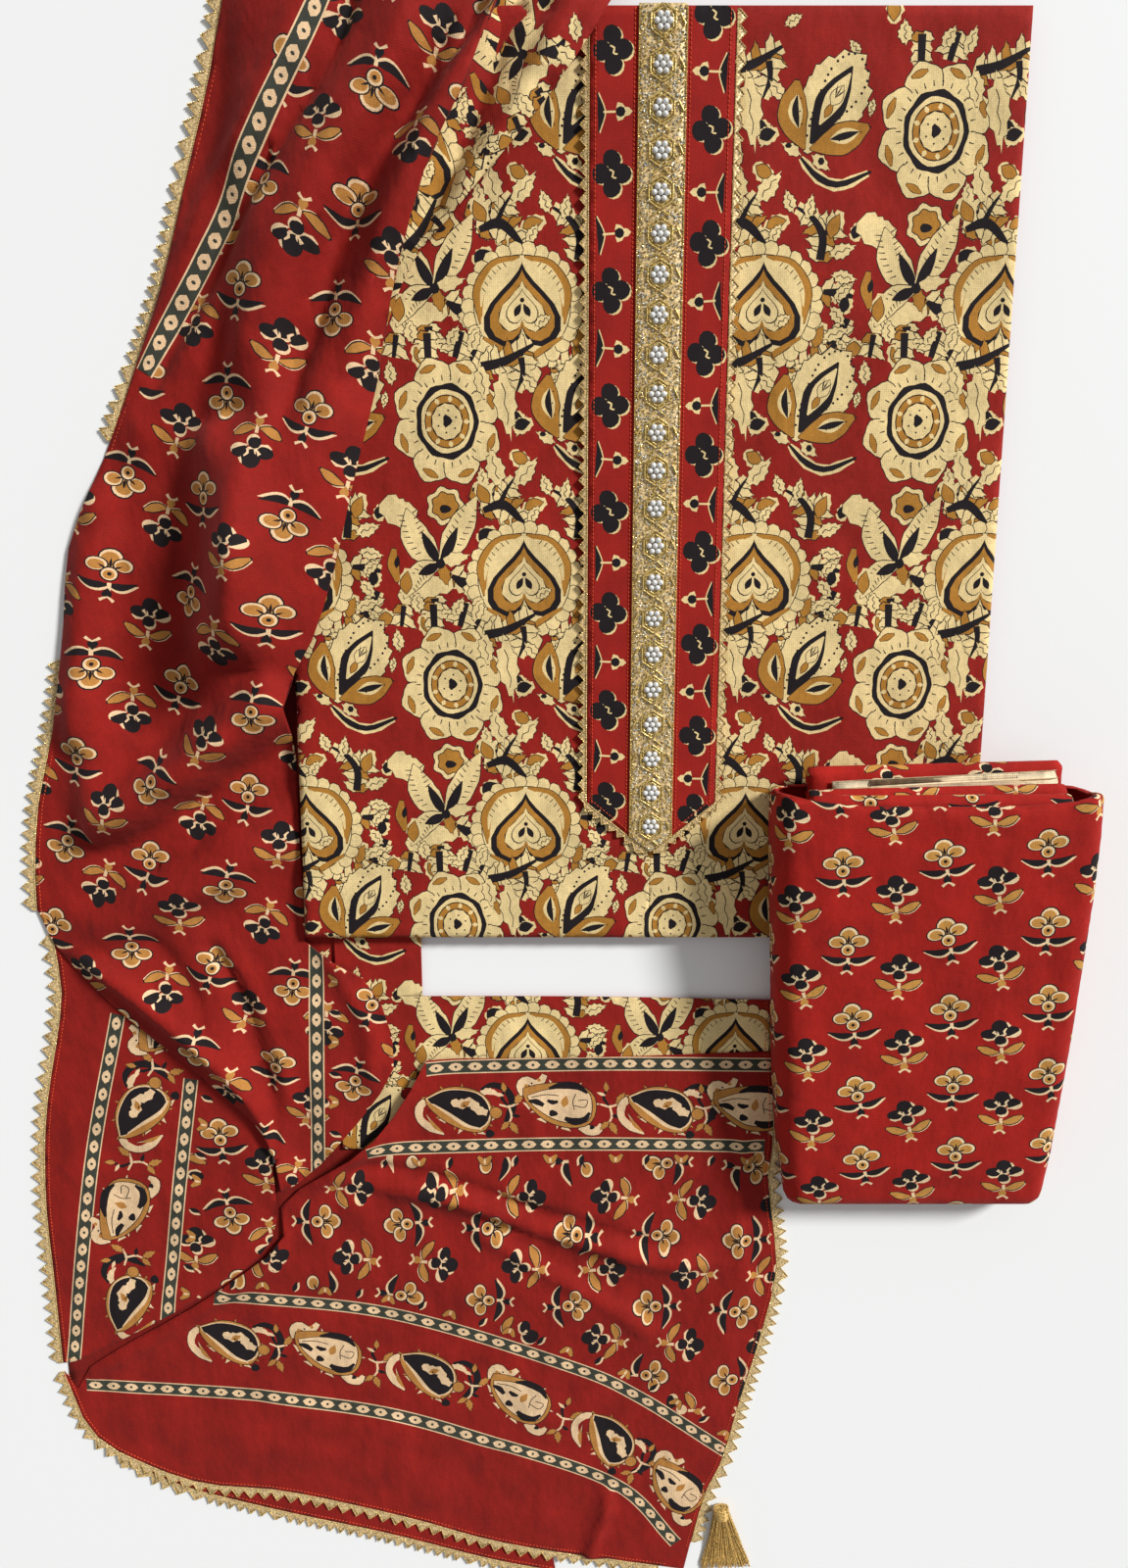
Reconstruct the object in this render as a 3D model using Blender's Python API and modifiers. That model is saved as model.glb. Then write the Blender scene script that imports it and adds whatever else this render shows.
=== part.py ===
# Salwar kameez suit, folded and laid flat: kameez panel with its placket, dupatta and salwar cloth bundle.
# Metres, +Z up, +Y towards the kameez's neck. The origin is the middle of the kameez's underside, and
# everything lies on the plane z = 0. Run it with: blender --background --python part.py

import bpy
import bmesh
import math
from mathutils import Vector
from mathutils.bvhtree import BVHTree

# Driving dimensions
seam_gap = 0.0003
hem_gap = 0.0006
lace_lift = 0.0002
cloth = 0.0012
kameez_length = 0.604
kameez_width_top = 0.472
kameez_width_hem = 0.481
kameez_thick = 0.014
kameez_layers = 5
kameez_edge_end = -0.150
tail_thick = 0.003
placket_width = 0.090
placket_middle = 0.008
placket_shoulder = -0.200
placket_lace_width = 0.030
placket_tip = -0.237
cluster_pitch = 0.0242
cluster_count = 22
cluster_first = 0.291
hem_lace_pitch = 0.0105
hem_lace_height = 0.0095
yoke_lace_pitch = 0.0095
yoke_lace_height = 0.0055
tassel_at = Vector((0.0771, -0.8090, 0.0049))   # middle of the head's end, where the strands start
tassel_head = (0.013, 0.009, 0.012)             # width, height and length of the bound head
tassel_strands = (12, 5)                        # strands across and up
tassel_strand_gap = 0.00018
tassel_segments = 5
tassel_step = 0.013
tassel_fan = 1.24                               # how far the strands spread at each segment
tassel_settle = 0.80                            # how far they sink towards tassel_floor at each segment
tassel_floor = 0.0003
tassel_sway = 0.0009

kameez_top = kameez_length / 2
kameez_hem = -kameez_length / 2


def clear_scene():
    for old in list(bpy.data.objects):
        bpy.data.objects.remove(old)


def collection(name):
    made = bpy.data.collections.new(name)
    bpy.context.scene.collection.children.link(made)
    return made


def material(name, colour, roughness=0.85, metallic=0.0):
    made = bpy.data.materials.new(name)
    made.use_nodes = True
    shader = made.node_tree.nodes["Principled BSDF"]
    shader.inputs["Base Color"].default_value = (*colour, 1)
    shader.inputs["Roughness"].default_value = roughness
    shader.inputs["Metallic"].default_value = metallic
    return made


def add_object(name, bm, mat, smooth=True):
    mesh = bpy.data.meshes.new(name)
    bmesh.ops.recalc_face_normals(bm, faces=bm.faces)
    bm.to_mesh(mesh)
    bm.free()
    mesh.materials.append(mat)
    if smooth:
        mesh.shade_smooth()
    made = bpy.data.objects.new(name, mesh)
    suit.objects.link(made)
    return made


def solidify(made, thickness):
    wall = made.modifiers.new("wall", "SOLIDIFY")
    wall.thickness = thickness
    wall.offset = 1
    return made


def mix(a, b, t):
    return a + (b - a) * t


def smooth_step(value, low, high):
    t = min(max((value - low) / (high - low), 0), 1)
    return t * t * (3 - 2 * t)


def along(points, count):
    # A smooth curve through the points, as count places spaced evenly by chord
    points = [Vector(p) for p in points]
    if len(points) == 2:
        return [points[0].lerp(points[1], i / (count - 1)) for i in range(count)]
    places = [0.0]
    for a, b in zip(points, points[1:]):
        places.append(places[-1] + (b - a).length)
    result = []
    for i in range(count):
        where = places[-1] * i / (count - 1)
        k = max(j for j in range(len(points) - 1) if places[j] <= where + 1e-9)
        t = (where - places[k]) / (places[k + 1] - places[k])
        p0 = points[k - 1] if k else points[0] * 2 - points[1]
        p3 = points[k + 2] if k + 2 < len(points) else points[-1] * 2 - points[-2]
        p1, p2 = points[k], points[k + 1]
        result.append((p1 * 2 + (p2 - p0) * t + (p0 * 2 - p1 * 5 + p2 * 4 - p3) * t * t
                       + (p1 * 3 - p0 - p2 * 3 + p3) * t ** 3) / 2)
    return result


def tooth_places(points, pitch):
    # Two places for each tooth, with a whole number of teeth on each straight stretch
    result = [points[0]]
    for a, b in zip(points, points[1:]):
        steps = 2 * max(round((b - a).length / pitch), 1)
        result += [a.lerp(b, i / steps) for i in range(1, steps + 1)]
    return result


def loft_rows(rows, rows_out, across):
    sampled = [along(row, across) for row in rows]
    columns = [along([row[j] for row in sampled], rows_out) for j in range(across)]
    return [[columns[j][i] for j in range(across)] for i in range(rows_out)]


def fold_height(x, y, folds):
    # Sum of soft ridges (or troughs, where the height is negative), each faded at its two ends
    total = 0.0
    for points, height, width, ends in folds:
        nearest, place = 9.0, 0.0
        pieces = len(points) - 1
        for k in range(pieces):
            ax, ay = points[k]
            bx, by = points[k + 1]
            dx, dy = bx - ax, by - ay
            t = ((x - ax) * dx + (y - ay) * dy) / (dx * dx + dy * dy)
            t = min(max(t, 0), 1)
            distance = math.hypot(x - ax - dx * t, y - ay - dy * t)
            if distance < nearest:
                nearest, place = distance, (k + t) / pieces
        fade = mix(ends, 1, math.sin(math.pi * min(max(place, 0), 1)) ** 0.6)
        total += height * fade * math.exp(-(nearest / width) ** 2)
    return total


def tree_of(made):
    bpy.context.view_layer.update()
    return BVHTree.FromObject(made, bpy.context.evaluated_depsgraph_get())


def rest_height(x, y, below):
    # The highest thing below this place or within reach of it, plus the seam gap, or the floor. Each thing
    # is a tree, its reach and the least y at which it carries the cloth.
    best = 0.0
    for tree, reach, least_y in below:
        if y < least_y:
            continue
        spots = [(0, 0)]
        for radius in (reach / 2, reach):
            spots += [(math.cos(a * math.pi / 4) * radius, math.sin(a * math.pi / 4) * radius) for a in range(8)]
        for dx, dy in spots:
            hit = tree.ray_cast(Vector((x + dx, y + dy, 0.5)), Vector((0, 0, -1)))[0]
            if hit:
                best = max(best, hit.z + seam_gap)
    return best


def sheet(name, rows, size, mat, folds=(), below=(), thickness=cloth, calm=(0, 0, 0)):
    # A wall of cloth through rows of points, laid on what is below it and raised in folds. calm is how
    # many cells the folds take to rise from the left, right and last edge, where a laced hem lies flat.
    grid = loft_rows([[(x, y, 0) for x, y in row] for row in rows], *size)
    bm = bmesh.new()
    verts = []
    for i, row in enumerate(grid):
        line = []
        for j, p in enumerate(row):
            base = rest_height(p.x, p.y, below)
            rise = max(fold_height(p.x, p.y, folds), 0.0)
            for cells, place in zip(calm, (j, len(row) - 1 - j, len(grid) - 1 - i)):
                if cells:
                    rise *= smooth_step(place, 0.5, cells)
            line.append(bm.verts.new((p.x, p.y, base + rise)))
        verts.append(line)
    for upper, lower in zip(verts, verts[1:]):
        for j in range(len(upper) - 1):
            bm.faces.new((upper[j], lower[j], lower[j + 1], upper[j + 1]))
    left = [row[0].co.copy() for row in verts]
    right = [row[-1].co.copy() for row in verts]
    bottom = [v.co.copy() for v in verts[-1]]
    made = solidify(add_object(name, bm, mat), thickness)
    flip_up(made)
    return made, left, right, bottom


def flip_up(made):
    # Solidify grows the wall along the faces' own side, which has to be the upper one
    if sum(face.normal.z for face in made.data.polygons) < 0:
        made.data.flip_normals()


def loft(name, sections, mat):
    bm = bmesh.new()
    rings = [[bm.verts.new(p) for p in section] for section in sections]
    for a, b in zip(rings, rings[1:]):
        for i in range(len(a)):
            j = (i + 1) % len(a)
            bm.faces.new((a[i], a[j], b[j], b[i]))
    bm.faces.new(rings[0])
    bm.faces.new(reversed(rings[-1]))
    return add_object(name, bm, mat)


def layered_section(y, left, right, low, high, layers, groove):
    # Cross-section of folded cloth: flat above and below, with one bulge for each layer at its two edges
    edge = [(groove * 1.6, 0.0)]
    for layer in range(layers):
        edge += [(inset * groove, (layer + share) / layers) for share, inset in ((0.2, 0.3), (0.5, 0), (0.8, 0.3))]
        if layer < layers - 1:
            edge.append((groove, (layer + 1) / layers))
    edge.append((groove * 1.6, 1.0))
    points = [(right - inset, y, mix(low, high, z)) for inset, z in edge]
    points += [(left + inset, y, mix(low, high, z)) for inset, z in reversed(edge)]
    return points


def gota(name, path, pitch, height, mat, side, thickness=0.001, band=0.25):
    # Triangle lace along a path: a narrow band with one tooth for each pitch
    spots = tooth_places(path, pitch)
    teeth = len(spots) // 2
    bm = bmesh.new()
    inner, outer, tips = [], [], []
    for i, p in enumerate(spots):
        ahead = spots[min(i + 1, 2 * teeth)] - spots[max(i - 1, 0)]
        out = Vector((ahead.y, -ahead.x, 0)).normalized() * side
        start = p + out * hem_gap + Vector((0, 0, lace_lift))
        if i % 2:
            tips.append(bm.verts.new(start + out * height))
        else:
            inner.append(bm.verts.new(start))
            outer.append(bm.verts.new(start + out * height * band))
    for k in range(teeth):
        bm.faces.new((inner[k], inner[k + 1], outer[k + 1], outer[k]))
        bm.faces.new((outer[k], outer[k + 1], tips[k]))
    made = solidify(add_object(name, bm, mat, smooth=False), thickness)
    flip_up(made)
    return made


def make_kameez():
    # y is a share of the half length, and inset is how far the end is drawn in for its rounding
    ends = [(1.0, 0.0040, 0.30), (0.9965, 0.0012, 0.10), (0.991, 0.0, 0.0)]
    stations = [(-s, inset, pinch) for s, inset, pinch in ends]
    stations += [(s / 5, 0.0, 0.0) for s in range(-4, 5)]
    stations += [(s, inset, pinch) for s, inset, pinch in reversed(ends)]
    sections = []
    for share, inset, pinch in stations:
        half = mix(kameez_width_hem, kameez_width_top, (share + 1) / 2) / 2 - inset
        low = kameez_thick * pinch
        sections.append(layered_section(share * kameez_top, -half, half, low, kameez_thick - low, kameez_layers, 0.0011))
    return loft("kameez_body", sections, kameez_red)


def make_placket():
    # The panel's own outline, then the bead lace down its middle, each just above what it lies on
    half, strip = placket_width / 2, placket_lace_width / 2
    x, base = placket_middle, kameez_thick + seam_gap
    slope = (placket_shoulder - placket_tip) / half
    neck = placket_shoulder - slope * (half - strip)
    outline = [(x - half, kameez_top - 0.002), (x - half, placket_shoulder), (x - strip, neck), (x, placket_tip),
               (x + strip, neck), (x + half, placket_shoulder), (x + half, kameez_top - 0.002)]
    bm = bmesh.new()
    bm.faces.new([bm.verts.new((px, py, base)) for px, py in outline])
    panel = solidify(add_object("yoke_panel", bm, border_red, smooth=False), cloth)
    flip_up(panel)
    for side, name in ((-1, "yoke_gota_left"), (1, "yoke_gota_right")):
        path = [Vector((x + side * half, kameez_top - 0.004, base)), Vector((x + side * half, placket_shoulder, base))]
        path = along(path, 30) + [Vector((x + side * half * (1 - t), mix(placket_shoulder, placket_tip, t), base))
                                  for t in (0.25, 0.5, 0.75, 0.96)]
        gota(name, path, yoke_lace_pitch, yoke_lace_height, gold, -side)
    make_bead_lace(x, strip, base + cloth + seam_gap, neck)


def make_bead_lace(x, strip, base, end):
    # One cell for each pearl cluster: a hexagon of six sides raised from a flat strip, with a domed top,
    # over a plain underside
    rings = ((0.0098, 0.0), (0.0078, 0.0012), (0.0044, 0.0028))
    bm = bmesh.new()
    top, half = base + cloth, cluster_pitch / 2
    corners = [(strip, 0), (strip, half), (-strip, half), (-strip, 0), (-strip, -half), (strip, -half)]
    for k in range(cluster_count):
        y = cluster_first - cluster_pitch * k
        loops = [[bm.verts.new((x + cx, y + cy, top)) for cx, cy in corners]]
        for radius, rise in rings:
            turns = [math.pi / 3 * s for s in range(6)]
            loops.append([bm.verts.new((x + math.cos(t) * radius, y + math.sin(t) * radius, top + rise)) for t in turns])
        for a, b in zip(loops, loops[1:]):
            for i in range(6):
                j = (i + 1) % 6
                bm.faces.new((a[i], a[j], b[j], b[i]))
        bm.faces.new(loops[-1])
    low = cluster_first - cluster_pitch * (cluster_count - 0.5)
    tip = [(x - strip, low), (x + strip, low), (x + strip, end), (x, placket_tip), (x - strip, end)]
    bm.faces.new([bm.verts.new((px, py, top)) for px, py in tip])
    bmesh.ops.remove_doubles(bm, verts=bm.verts, dist=0.00005)
    rim = [e for e in bm.edges if e.is_boundary]
    walls = bmesh.ops.extrude_edge_only(bm, edges=rim)["geom"]
    for v in (g for g in walls if isinstance(g, bmesh.types.BMVert)):
        v.co.z = base
    bmesh.ops.edgeloop_fill(bm, edges=[g for g in walls if isinstance(g, bmesh.types.BMEdge) and g.is_boundary])
    add_object("placket_lace", bm, bead_gold, smooth=False)


# The dupatta's sheets. Each row runs from the left edge to the right edge, and the rows go from the
# neck end towards the hem.
fall_rows = [
    [(-0.256, 0.345), (-0.160, 0.343), (-0.078, 0.338)],
    [(-0.276, 0.268), (-0.190, 0.264), (-0.110, 0.256)],
    [(-0.295, 0.207), (-0.215, 0.205), (-0.139, 0.201)],
    [(-0.317, 0.135), (-0.240, 0.135), (-0.163, 0.133)],
    [(-0.344, 0.073), (-0.262, 0.074), (-0.176, 0.074)],
    [(-0.371, 0.016), (-0.284, 0.015), (-0.193, 0.013)],
    [(-0.391, -0.026), (-0.300, -0.032), (-0.206, -0.035)],
    [(-0.399, -0.082), (-0.312, -0.083), (-0.222, -0.081)],
    [(-0.411, -0.142), (-0.328, -0.134), (-0.2432, -0.123)],
    [(-0.431, -0.212), (-0.340, -0.200), (-0.2432, -0.176)],
    [(-0.438, -0.286), (-0.345, -0.270), (-0.2432, -0.235)],
    [(-0.426, -0.311), (-0.340, -0.309), (-0.2432, -0.285)],
    [(-0.401, -0.343), (-0.325, -0.335), (-0.2436, -0.307)],
    [(-0.373, -0.373), (-0.300, -0.366), (-0.200, -0.338)],
    [(-0.339, -0.403), (-0.280, -0.398), (-0.184, -0.372)],
    [(-0.297, -0.443), (-0.250, -0.430), (-0.181, -0.408)],
    [(-0.276, -0.469), (-0.245, -0.460), (-0.206, -0.448)],
    [(-0.271, -0.510), (-0.256, -0.502), (-0.240, -0.488)],
]
# Folds: points along the crest, height, half width, and the share of the height left at its ends
fall_folds = [
    ([(-0.205, 0.330), (-0.243, 0.244), (-0.279, 0.197), (-0.315, 0.127), (-0.340, 0.077)], 0.012, 0.009, 0.4),
    ([(-0.158, 0.330), (-0.176, 0.272), (-0.216, 0.214), (-0.262, 0.148), (-0.305, 0.096), (-0.338, 0.050)],
     0.016, 0.014, 0.6),
    ([(-0.125, 0.330), (-0.150, 0.262), (-0.190, 0.206), (-0.228, 0.141), (-0.262, 0.080)], 0.014, 0.018, 0.5),
    ([(-0.086, 0.330), (-0.120, 0.256), (-0.150, 0.203), (-0.180, 0.140), (-0.205, 0.082)], 0.017, 0.011, 0.6),
    ([(-0.214, 0.090), (-0.232, 0.030), (-0.262, -0.030), (-0.290, -0.090), (-0.300, -0.130)], 0.034, 0.034, 0.1),
    ([(-0.390, -0.100), (-0.385, -0.170), (-0.395, -0.225)], 0.012, 0.016, 0.2),
    ([(-0.350, -0.205), (-0.300, -0.165), (-0.262, -0.140)], 0.014, 0.016, 0.2),
    ([(-0.400, -0.290), (-0.350, -0.272), (-0.300, -0.245), (-0.262, -0.215)], 0.017, 0.019, 0.4),
    ([(-0.400, -0.318), (-0.350, -0.360), (-0.310, -0.395), (-0.288, -0.440)], 0.008, 0.017, 0.6),
    ([(-0.330, -0.290), (-0.318, -0.340), (-0.302, -0.400)], 0.009, 0.018, 0.2),
    ([(-0.262, -0.300), (-0.256, -0.350), (-0.250, -0.420)], 0.009, 0.014, 0.2),
]
corner_rows = [
    [(-0.4285, -0.303), (-0.391, -0.326), (-0.357, -0.357), (-0.280, -0.445)],
    [(-0.426, -0.346), (-0.372, -0.372), (-0.335, -0.402), (-0.277, -0.470)],
    [(-0.431, -0.377), (-0.375, -0.400), (-0.330, -0.430), (-0.276, -0.495)],
    [(-0.447, -0.448), (-0.385, -0.468), (-0.335, -0.486), (-0.2755, -0.522)],
    [(-0.454, -0.520), (-0.394, -0.530), (-0.340, -0.540), (-0.279, -0.549)],
    [(-0.454, -0.583), (-0.404, -0.583), (-0.350, -0.580), (-0.300, -0.575)],
    [(-0.454, -0.627), (-0.415, -0.622), (-0.375, -0.613), (-0.335, -0.600)],
    [(-0.454, -0.664), (-0.446, -0.663), (-0.438, -0.660), (-0.430, -0.656)],
]
corner_folds = [
    ([(-0.285, -0.480), (-0.283, -0.520), (-0.300, -0.560), (-0.350, -0.595), (-0.410, -0.640)], 0.006, 0.013, 0.3),
    ([(-0.418, -0.440), (-0.427, -0.520), (-0.432, -0.600)], 0.003, 0.010, 0.2),
]
spread_rows = [
    [(-0.156, -0.400), (-0.035, -0.399), (0.102, -0.394)],
    [(-0.176, -0.436), (-0.035, -0.436), (0.105, -0.431)],
    [(-0.200, -0.466), (-0.065, -0.474), (0.106, -0.470)],
    [(-0.238, -0.495), (-0.163, -0.500), (-0.034, -0.519), (0.104, -0.499)],
    [(-0.271, -0.522), (-0.200, -0.535), (-0.095, -0.557), (0.109, -0.540)],
    [(-0.274, -0.555), (-0.235, -0.572), (-0.111, -0.600), (0.1135, -0.582)],
    [(-0.334, -0.604), (-0.293, -0.606), (-0.202, -0.622), (-0.049, -0.667), (0.008, -0.690), (0.102, -0.644)],
    [(-0.400, -0.645), (-0.345, -0.650), (-0.250, -0.660), (-0.110, -0.690), (0.000, -0.730), (0.088, -0.700)],
    [(-0.436, -0.670), (-0.376, -0.685), (-0.298, -0.694), (-0.205, -0.707), (-0.111, -0.738), (-0.010, -0.779),
     (0.076, -0.754)],
    [(-0.446, -0.690), (-0.385, -0.725), (-0.310, -0.738), (-0.200, -0.755), (-0.110, -0.785), (0.000, -0.815),
     (0.062, -0.790)],
    [(-0.454, -0.672), (-0.437, -0.727), (-0.401, -0.754), (-0.349, -0.776), (-0.280, -0.784), (-0.183, -0.809),
     (-0.112, -0.832), (-0.025, -0.850), (0.047, -0.862)],
]
spread_folds = [
    ([(-0.160, -0.402), (-0.185, -0.440), (-0.208, -0.470), (-0.250, -0.503)], 0.010, 0.012, 0.6),
    ([(-0.262, -0.540), (-0.200, -0.515), (-0.130, -0.508), (-0.050, -0.525), (0.010, -0.566), (0.060, -0.575)],
     0.008, 0.012, 0.3),
    ([(-0.300, -0.585), (-0.200, -0.575), (-0.100, -0.590), (-0.010, -0.625)], 0.004, 0.022, 0.1),
    ([(-0.420, -0.700), (-0.330, -0.735), (-0.230, -0.750), (-0.120, -0.780)], 0.003, 0.020, 0.1),
    ([(-0.015, -0.800), (-0.022, -0.830), (-0.030, -0.850)], 0.004, 0.009, 0.5),
    ([(0.092, -0.520), (0.080, -0.600), (0.060, -0.700)], 0.004, 0.012, 0.2),
]
under_rows = [
    [(-0.405, -0.733), (-0.340, -0.757), (-0.240, -0.776), (-0.150, -0.800), (-0.066, -0.826)],
    [(-0.415, -0.750), (-0.373, -0.777), (-0.298, -0.801), (-0.197, -0.827), (-0.117, -0.851), (-0.060, -0.864)],
]
gather_rows = [
    [(-0.115, 0.338), (-0.060, 0.338), (-0.006, 0.334)],
    [(-0.132, 0.280), (-0.085, 0.280), (-0.038, 0.280)],
    [(-0.147, 0.240), (-0.108, 0.240), (-0.070, 0.240)],
    [(-0.162, 0.205), (-0.128, 0.208), (-0.096, 0.210)],
    [(-0.176, 0.170), (-0.148, 0.176), (-0.121, 0.183)],
    [(-0.186, 0.140), (-0.168, 0.147), (-0.150, 0.154)],
    [(-0.192, 0.108), (-0.180, 0.111), (-0.168, 0.114)],
]
gather_folds = [
    ([(-0.020, 0.330), (-0.050, 0.285), (-0.078, 0.248), (-0.105, 0.214), (-0.140, 0.172)], 0.010, 0.011, 0.5),
    ([(-0.062, 0.330), (-0.088, 0.280), (-0.115, 0.235), (-0.140, 0.200)], 0.005, 0.009, 0.5),
    ([(-0.100, 0.325), (-0.118, 0.285), (-0.135, 0.250)], 0.004, 0.008, 0.4),
]


def make_tail():
    # The kameez's lower cloth: a narrow drop beside the panel's hem, then a wide strip under the dupatta
    left, right = -0.222, 0.1005
    drop = [[(left, kameez_hem - 0.001), (-0.158, kameez_hem - 0.001)], [(left, -0.3505), (-0.158, -0.3505)]]
    strip = [[(left, -0.3508), (-0.05, -0.3508), (right, -0.3535)], [(left, -0.475), (-0.05, -0.475), (right, -0.475)]]
    side = sheet("kameez_side", drop, (4, 5), kameez_red, thickness=tail_thick)[0]
    tail, _, edge, _ = sheet("kameez_tail", strip, (7, 12), kameez_red, thickness=tail_thick)
    gota("tail_gota", edge[:3], hem_lace_pitch, hem_lace_height * 0.6, gold, -1)
    return side, tail


def hem_piece(name, edge, first, last, side):
    gota(name, edge[first:last], hem_lace_pitch, hem_lace_height, gold, side)


def make_dupatta(kameez, side, tail):
    under, _, _, under_hem = sheet("dupatta_under_hem", under_rows, (4, 24), dupatta_red)
    hem_piece("gota_under_hem", under_hem, 0, 24, 1)
    spread, _, right, hem = sheet("dupatta_spread", spread_rows, (19, 27), dupatta_red, spread_folds,
                                  [(tree_of(tail), 0.024, -1), (tree_of(under), 0.024, -1)], calm=(0, 2, 2))
    hem_piece("gota_spread_hem", hem, 0, 26, 1)
    hem_piece("gota_spread_side", right, 0, 18, -1)
    corner, left, _, _ = sheet("dupatta_corner", corner_rows, (17, 10), dupatta_red, corner_folds, calm=(2, 0, 0))
    hem_piece("gota_corner", left, 0, 17, 1)
    gather, _, _, _ = sheet("kameez_gather", gather_rows, (15, 12), kameez_red, gather_folds,
                            [(tree_of(kameez), 0.012, -1)])
    carriers = [(kameez, 0.026, kameez_edge_end), (gather, 0.026, -1), (side, 0.020, -1), (tail, 0.020, -1),
                (corner, 0.020, -1)]
    fall, left, _, _ = sheet("dupatta_fall", fall_rows, (37, 27), dupatta_red, fall_folds,
                             [(tree_of(made), reach, least) for made, reach, least in carriers], calm=(3, 0, 0))
    hem_piece("gota_fall_upper", left, 0, 13, 1)
    hem_piece("gota_fall_lower", left, 18, 26, 1)


def make_tassel():
    # A bound head whose end is a grid of faces, each drawn out to one strand. From one segment to the
    # next the strands fan out across and settle towards the floor, all by the same share, so none cross.
    lie = Vector((0.10, -1, 0)).normalized()
    across, up = Vector((-lie.y, lie.x, 0)), Vector((0, 0, 1))
    bm = bmesh.new()
    bmesh.ops.create_grid(bm, x_segments=tassel_strands[0], y_segments=tassel_strands[1], size=1)
    for v in bm.verts:
        v.co = tassel_at + across * v.co.x * tassel_head[0] / 2 + up * v.co.y * tassel_head[1] / 2
    head = bmesh.ops.extrude_face_region(bm, geom=list(bm.faces))
    for v in (g for g in head["geom"] if isinstance(g, bmesh.types.BMVert)):
        v.co -= lie * tassel_head[2]
    front = [f for f in bm.faces if all(abs((v.co - tassel_at).dot(lie)) < 1e-5 for v in f.verts)]
    bmesh.ops.inset_individual(bm, faces=front, thickness=tassel_strand_gap)
    for segment in range(tassel_segments):
        front = bmesh.ops.extrude_discrete_faces(bm, faces=front)["faces"]
        sway = tassel_sway * math.sin(1.9 * segment)
        for k, face in enumerate(front):
            middle = face.calc_center_median()
            step = tassel_step * (1 + 0.07 * math.sin(k * 1.7))
            for v in face.verts:
                side = (middle - tassel_at).dot(across)
                own = (v.co - middle).dot(across)
                height = tassel_floor + (v.co.z - tassel_floor) * tassel_settle
                v.co = v.co + lie * step + across * (side * (tassel_fan - 1) + sway)
                v.co -= across * own * 0.06
                v.co.z = height
    return add_object("tassel", bm, gold, smooth=False)


def make_salwar():
    # Each row: y, left and right edge, underside and top
    stations = [
        (-0.508, 0.124, 0.294, 0.0110, 0.0240),
        (-0.504, 0.116, 0.302, 0.0045, 0.0310),
        (-0.494, 0.112, 0.3055, 0.0, 0.0360),
        (-0.460, 0.106, 0.3065, 0.0, 0.0420),
        (-0.410, 0.101, 0.3075, 0.0, 0.0480),
        (-0.370, 0.098, 0.3080, 0.0050, 0.0530),
        (-0.315, 0.094, 0.3080, 0.0146, 0.0590),
        (-0.260, 0.091, 0.3080, 0.0146, 0.0650),
        (-0.215, 0.089, 0.3070, 0.0146, 0.0695),
        (-0.189, 0.089, 0.3060, 0.0146, 0.0700),
    ]
    sections = []
    for y, left, right, low, high in stations:
        ring = []
        for s in range(28):
            angle = 2 * math.pi * s / 28
            c, n = math.cos(angle), math.sin(angle)
            side = math.copysign(abs(c) ** 0.30, c)
            height = math.copysign(abs(n) ** 0.75, n)
            ring.append((mix(left, right, (side + 1) / 2), y, mix(low, high, (height + 1) / 2)))
        sections.append(ring)
    wrap = loft("salwar_wrap", sections, salwar_red)
    bpy.ops.mesh.primitive_cube_add(size=1, location=(0.1985, -0.189, 0.0405))
    cutter = bpy.context.object
    cutter.name = "salwar_mouth"
    cutter.scale = (0.188, 0.110, 0.037)
    bpy.ops.object.transform_apply(location=False)
    for owner in list(cutter.users_collection):
        owner.objects.unlink(cutter)
    cutters.objects.link(cutter)
    cutter.hide_render = True
    cutter.display_type = "WIRE"
    cut = wrap.modifiers.new("mouth", "BOOLEAN")
    cut.object = cutter
    # Each row: name, material, left, right, front end, underside, top and turn in degrees
    leaves = [
        ("salwar_back_leaf", salwar_red, 0.116, 0.290, -0.1700, 0.0223, 0.0325, 1.5),
        ("salwar_selvedge", selvedge_cream, 0.128, 0.286, -0.1770, 0.0328, 0.0378, 3.0),
        ("salwar_inner_leaf", salwar_red, 0.112, 0.288, -0.1830, 0.0381, 0.0480, 1.5),
        ("salwar_front_leaf", salwar_red, 0.110, 0.287, -0.1860, 0.0483, 0.0587, 0.5),
    ]
    for name, mat, left, right, end, low, high, turn in leaves:
        length = 0.052
        bpy.ops.mesh.primitive_cube_add(size=1, location=((left + right) / 2, end - length / 2, (low + high) / 2))
        leaf = bpy.context.object
        leaf.name = name
        leaf.scale = (right - left, length, high - low)
        leaf.rotation_euler.z = math.radians(turn)
        bpy.ops.object.transform_apply(location=False)
        round_edge = leaf.modifiers.new("edge", "BEVEL")
        round_edge.width = (high - low) * 0.42
        round_edge.segments = 2
        leaf.data.materials.append(mat)
        for owner in list(leaf.users_collection):
            owner.objects.unlink(leaf)
        suit.objects.link(leaf)


clear_scene()
suit = collection("salwar_kameez_suit")
cutters = collection("cutters")
kameez_red = material("kameez_print", (0.34, 0.13, 0.07))
border_red = material("placket_print", (0.36, 0.03, 0.02))
dupatta_red = material("dupatta_cotton", (0.30, 0.02, 0.012))
salwar_red = material("salwar_cotton", (0.33, 0.018, 0.010))
selvedge_cream = material("selvedge_cream", (0.78, 0.62, 0.40))
gold = material("gota_gold", (0.78, 0.56, 0.30), 0.45, 0.6)
bead_gold = material("bead_gold", (0.74, 0.62, 0.34), 0.35, 0.6)

kameez = make_kameez()
make_placket()
side, tail = make_tail()
make_dupatta(kameez, side, tail)
make_tassel()
make_salwar()
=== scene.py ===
import math
import random

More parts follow.
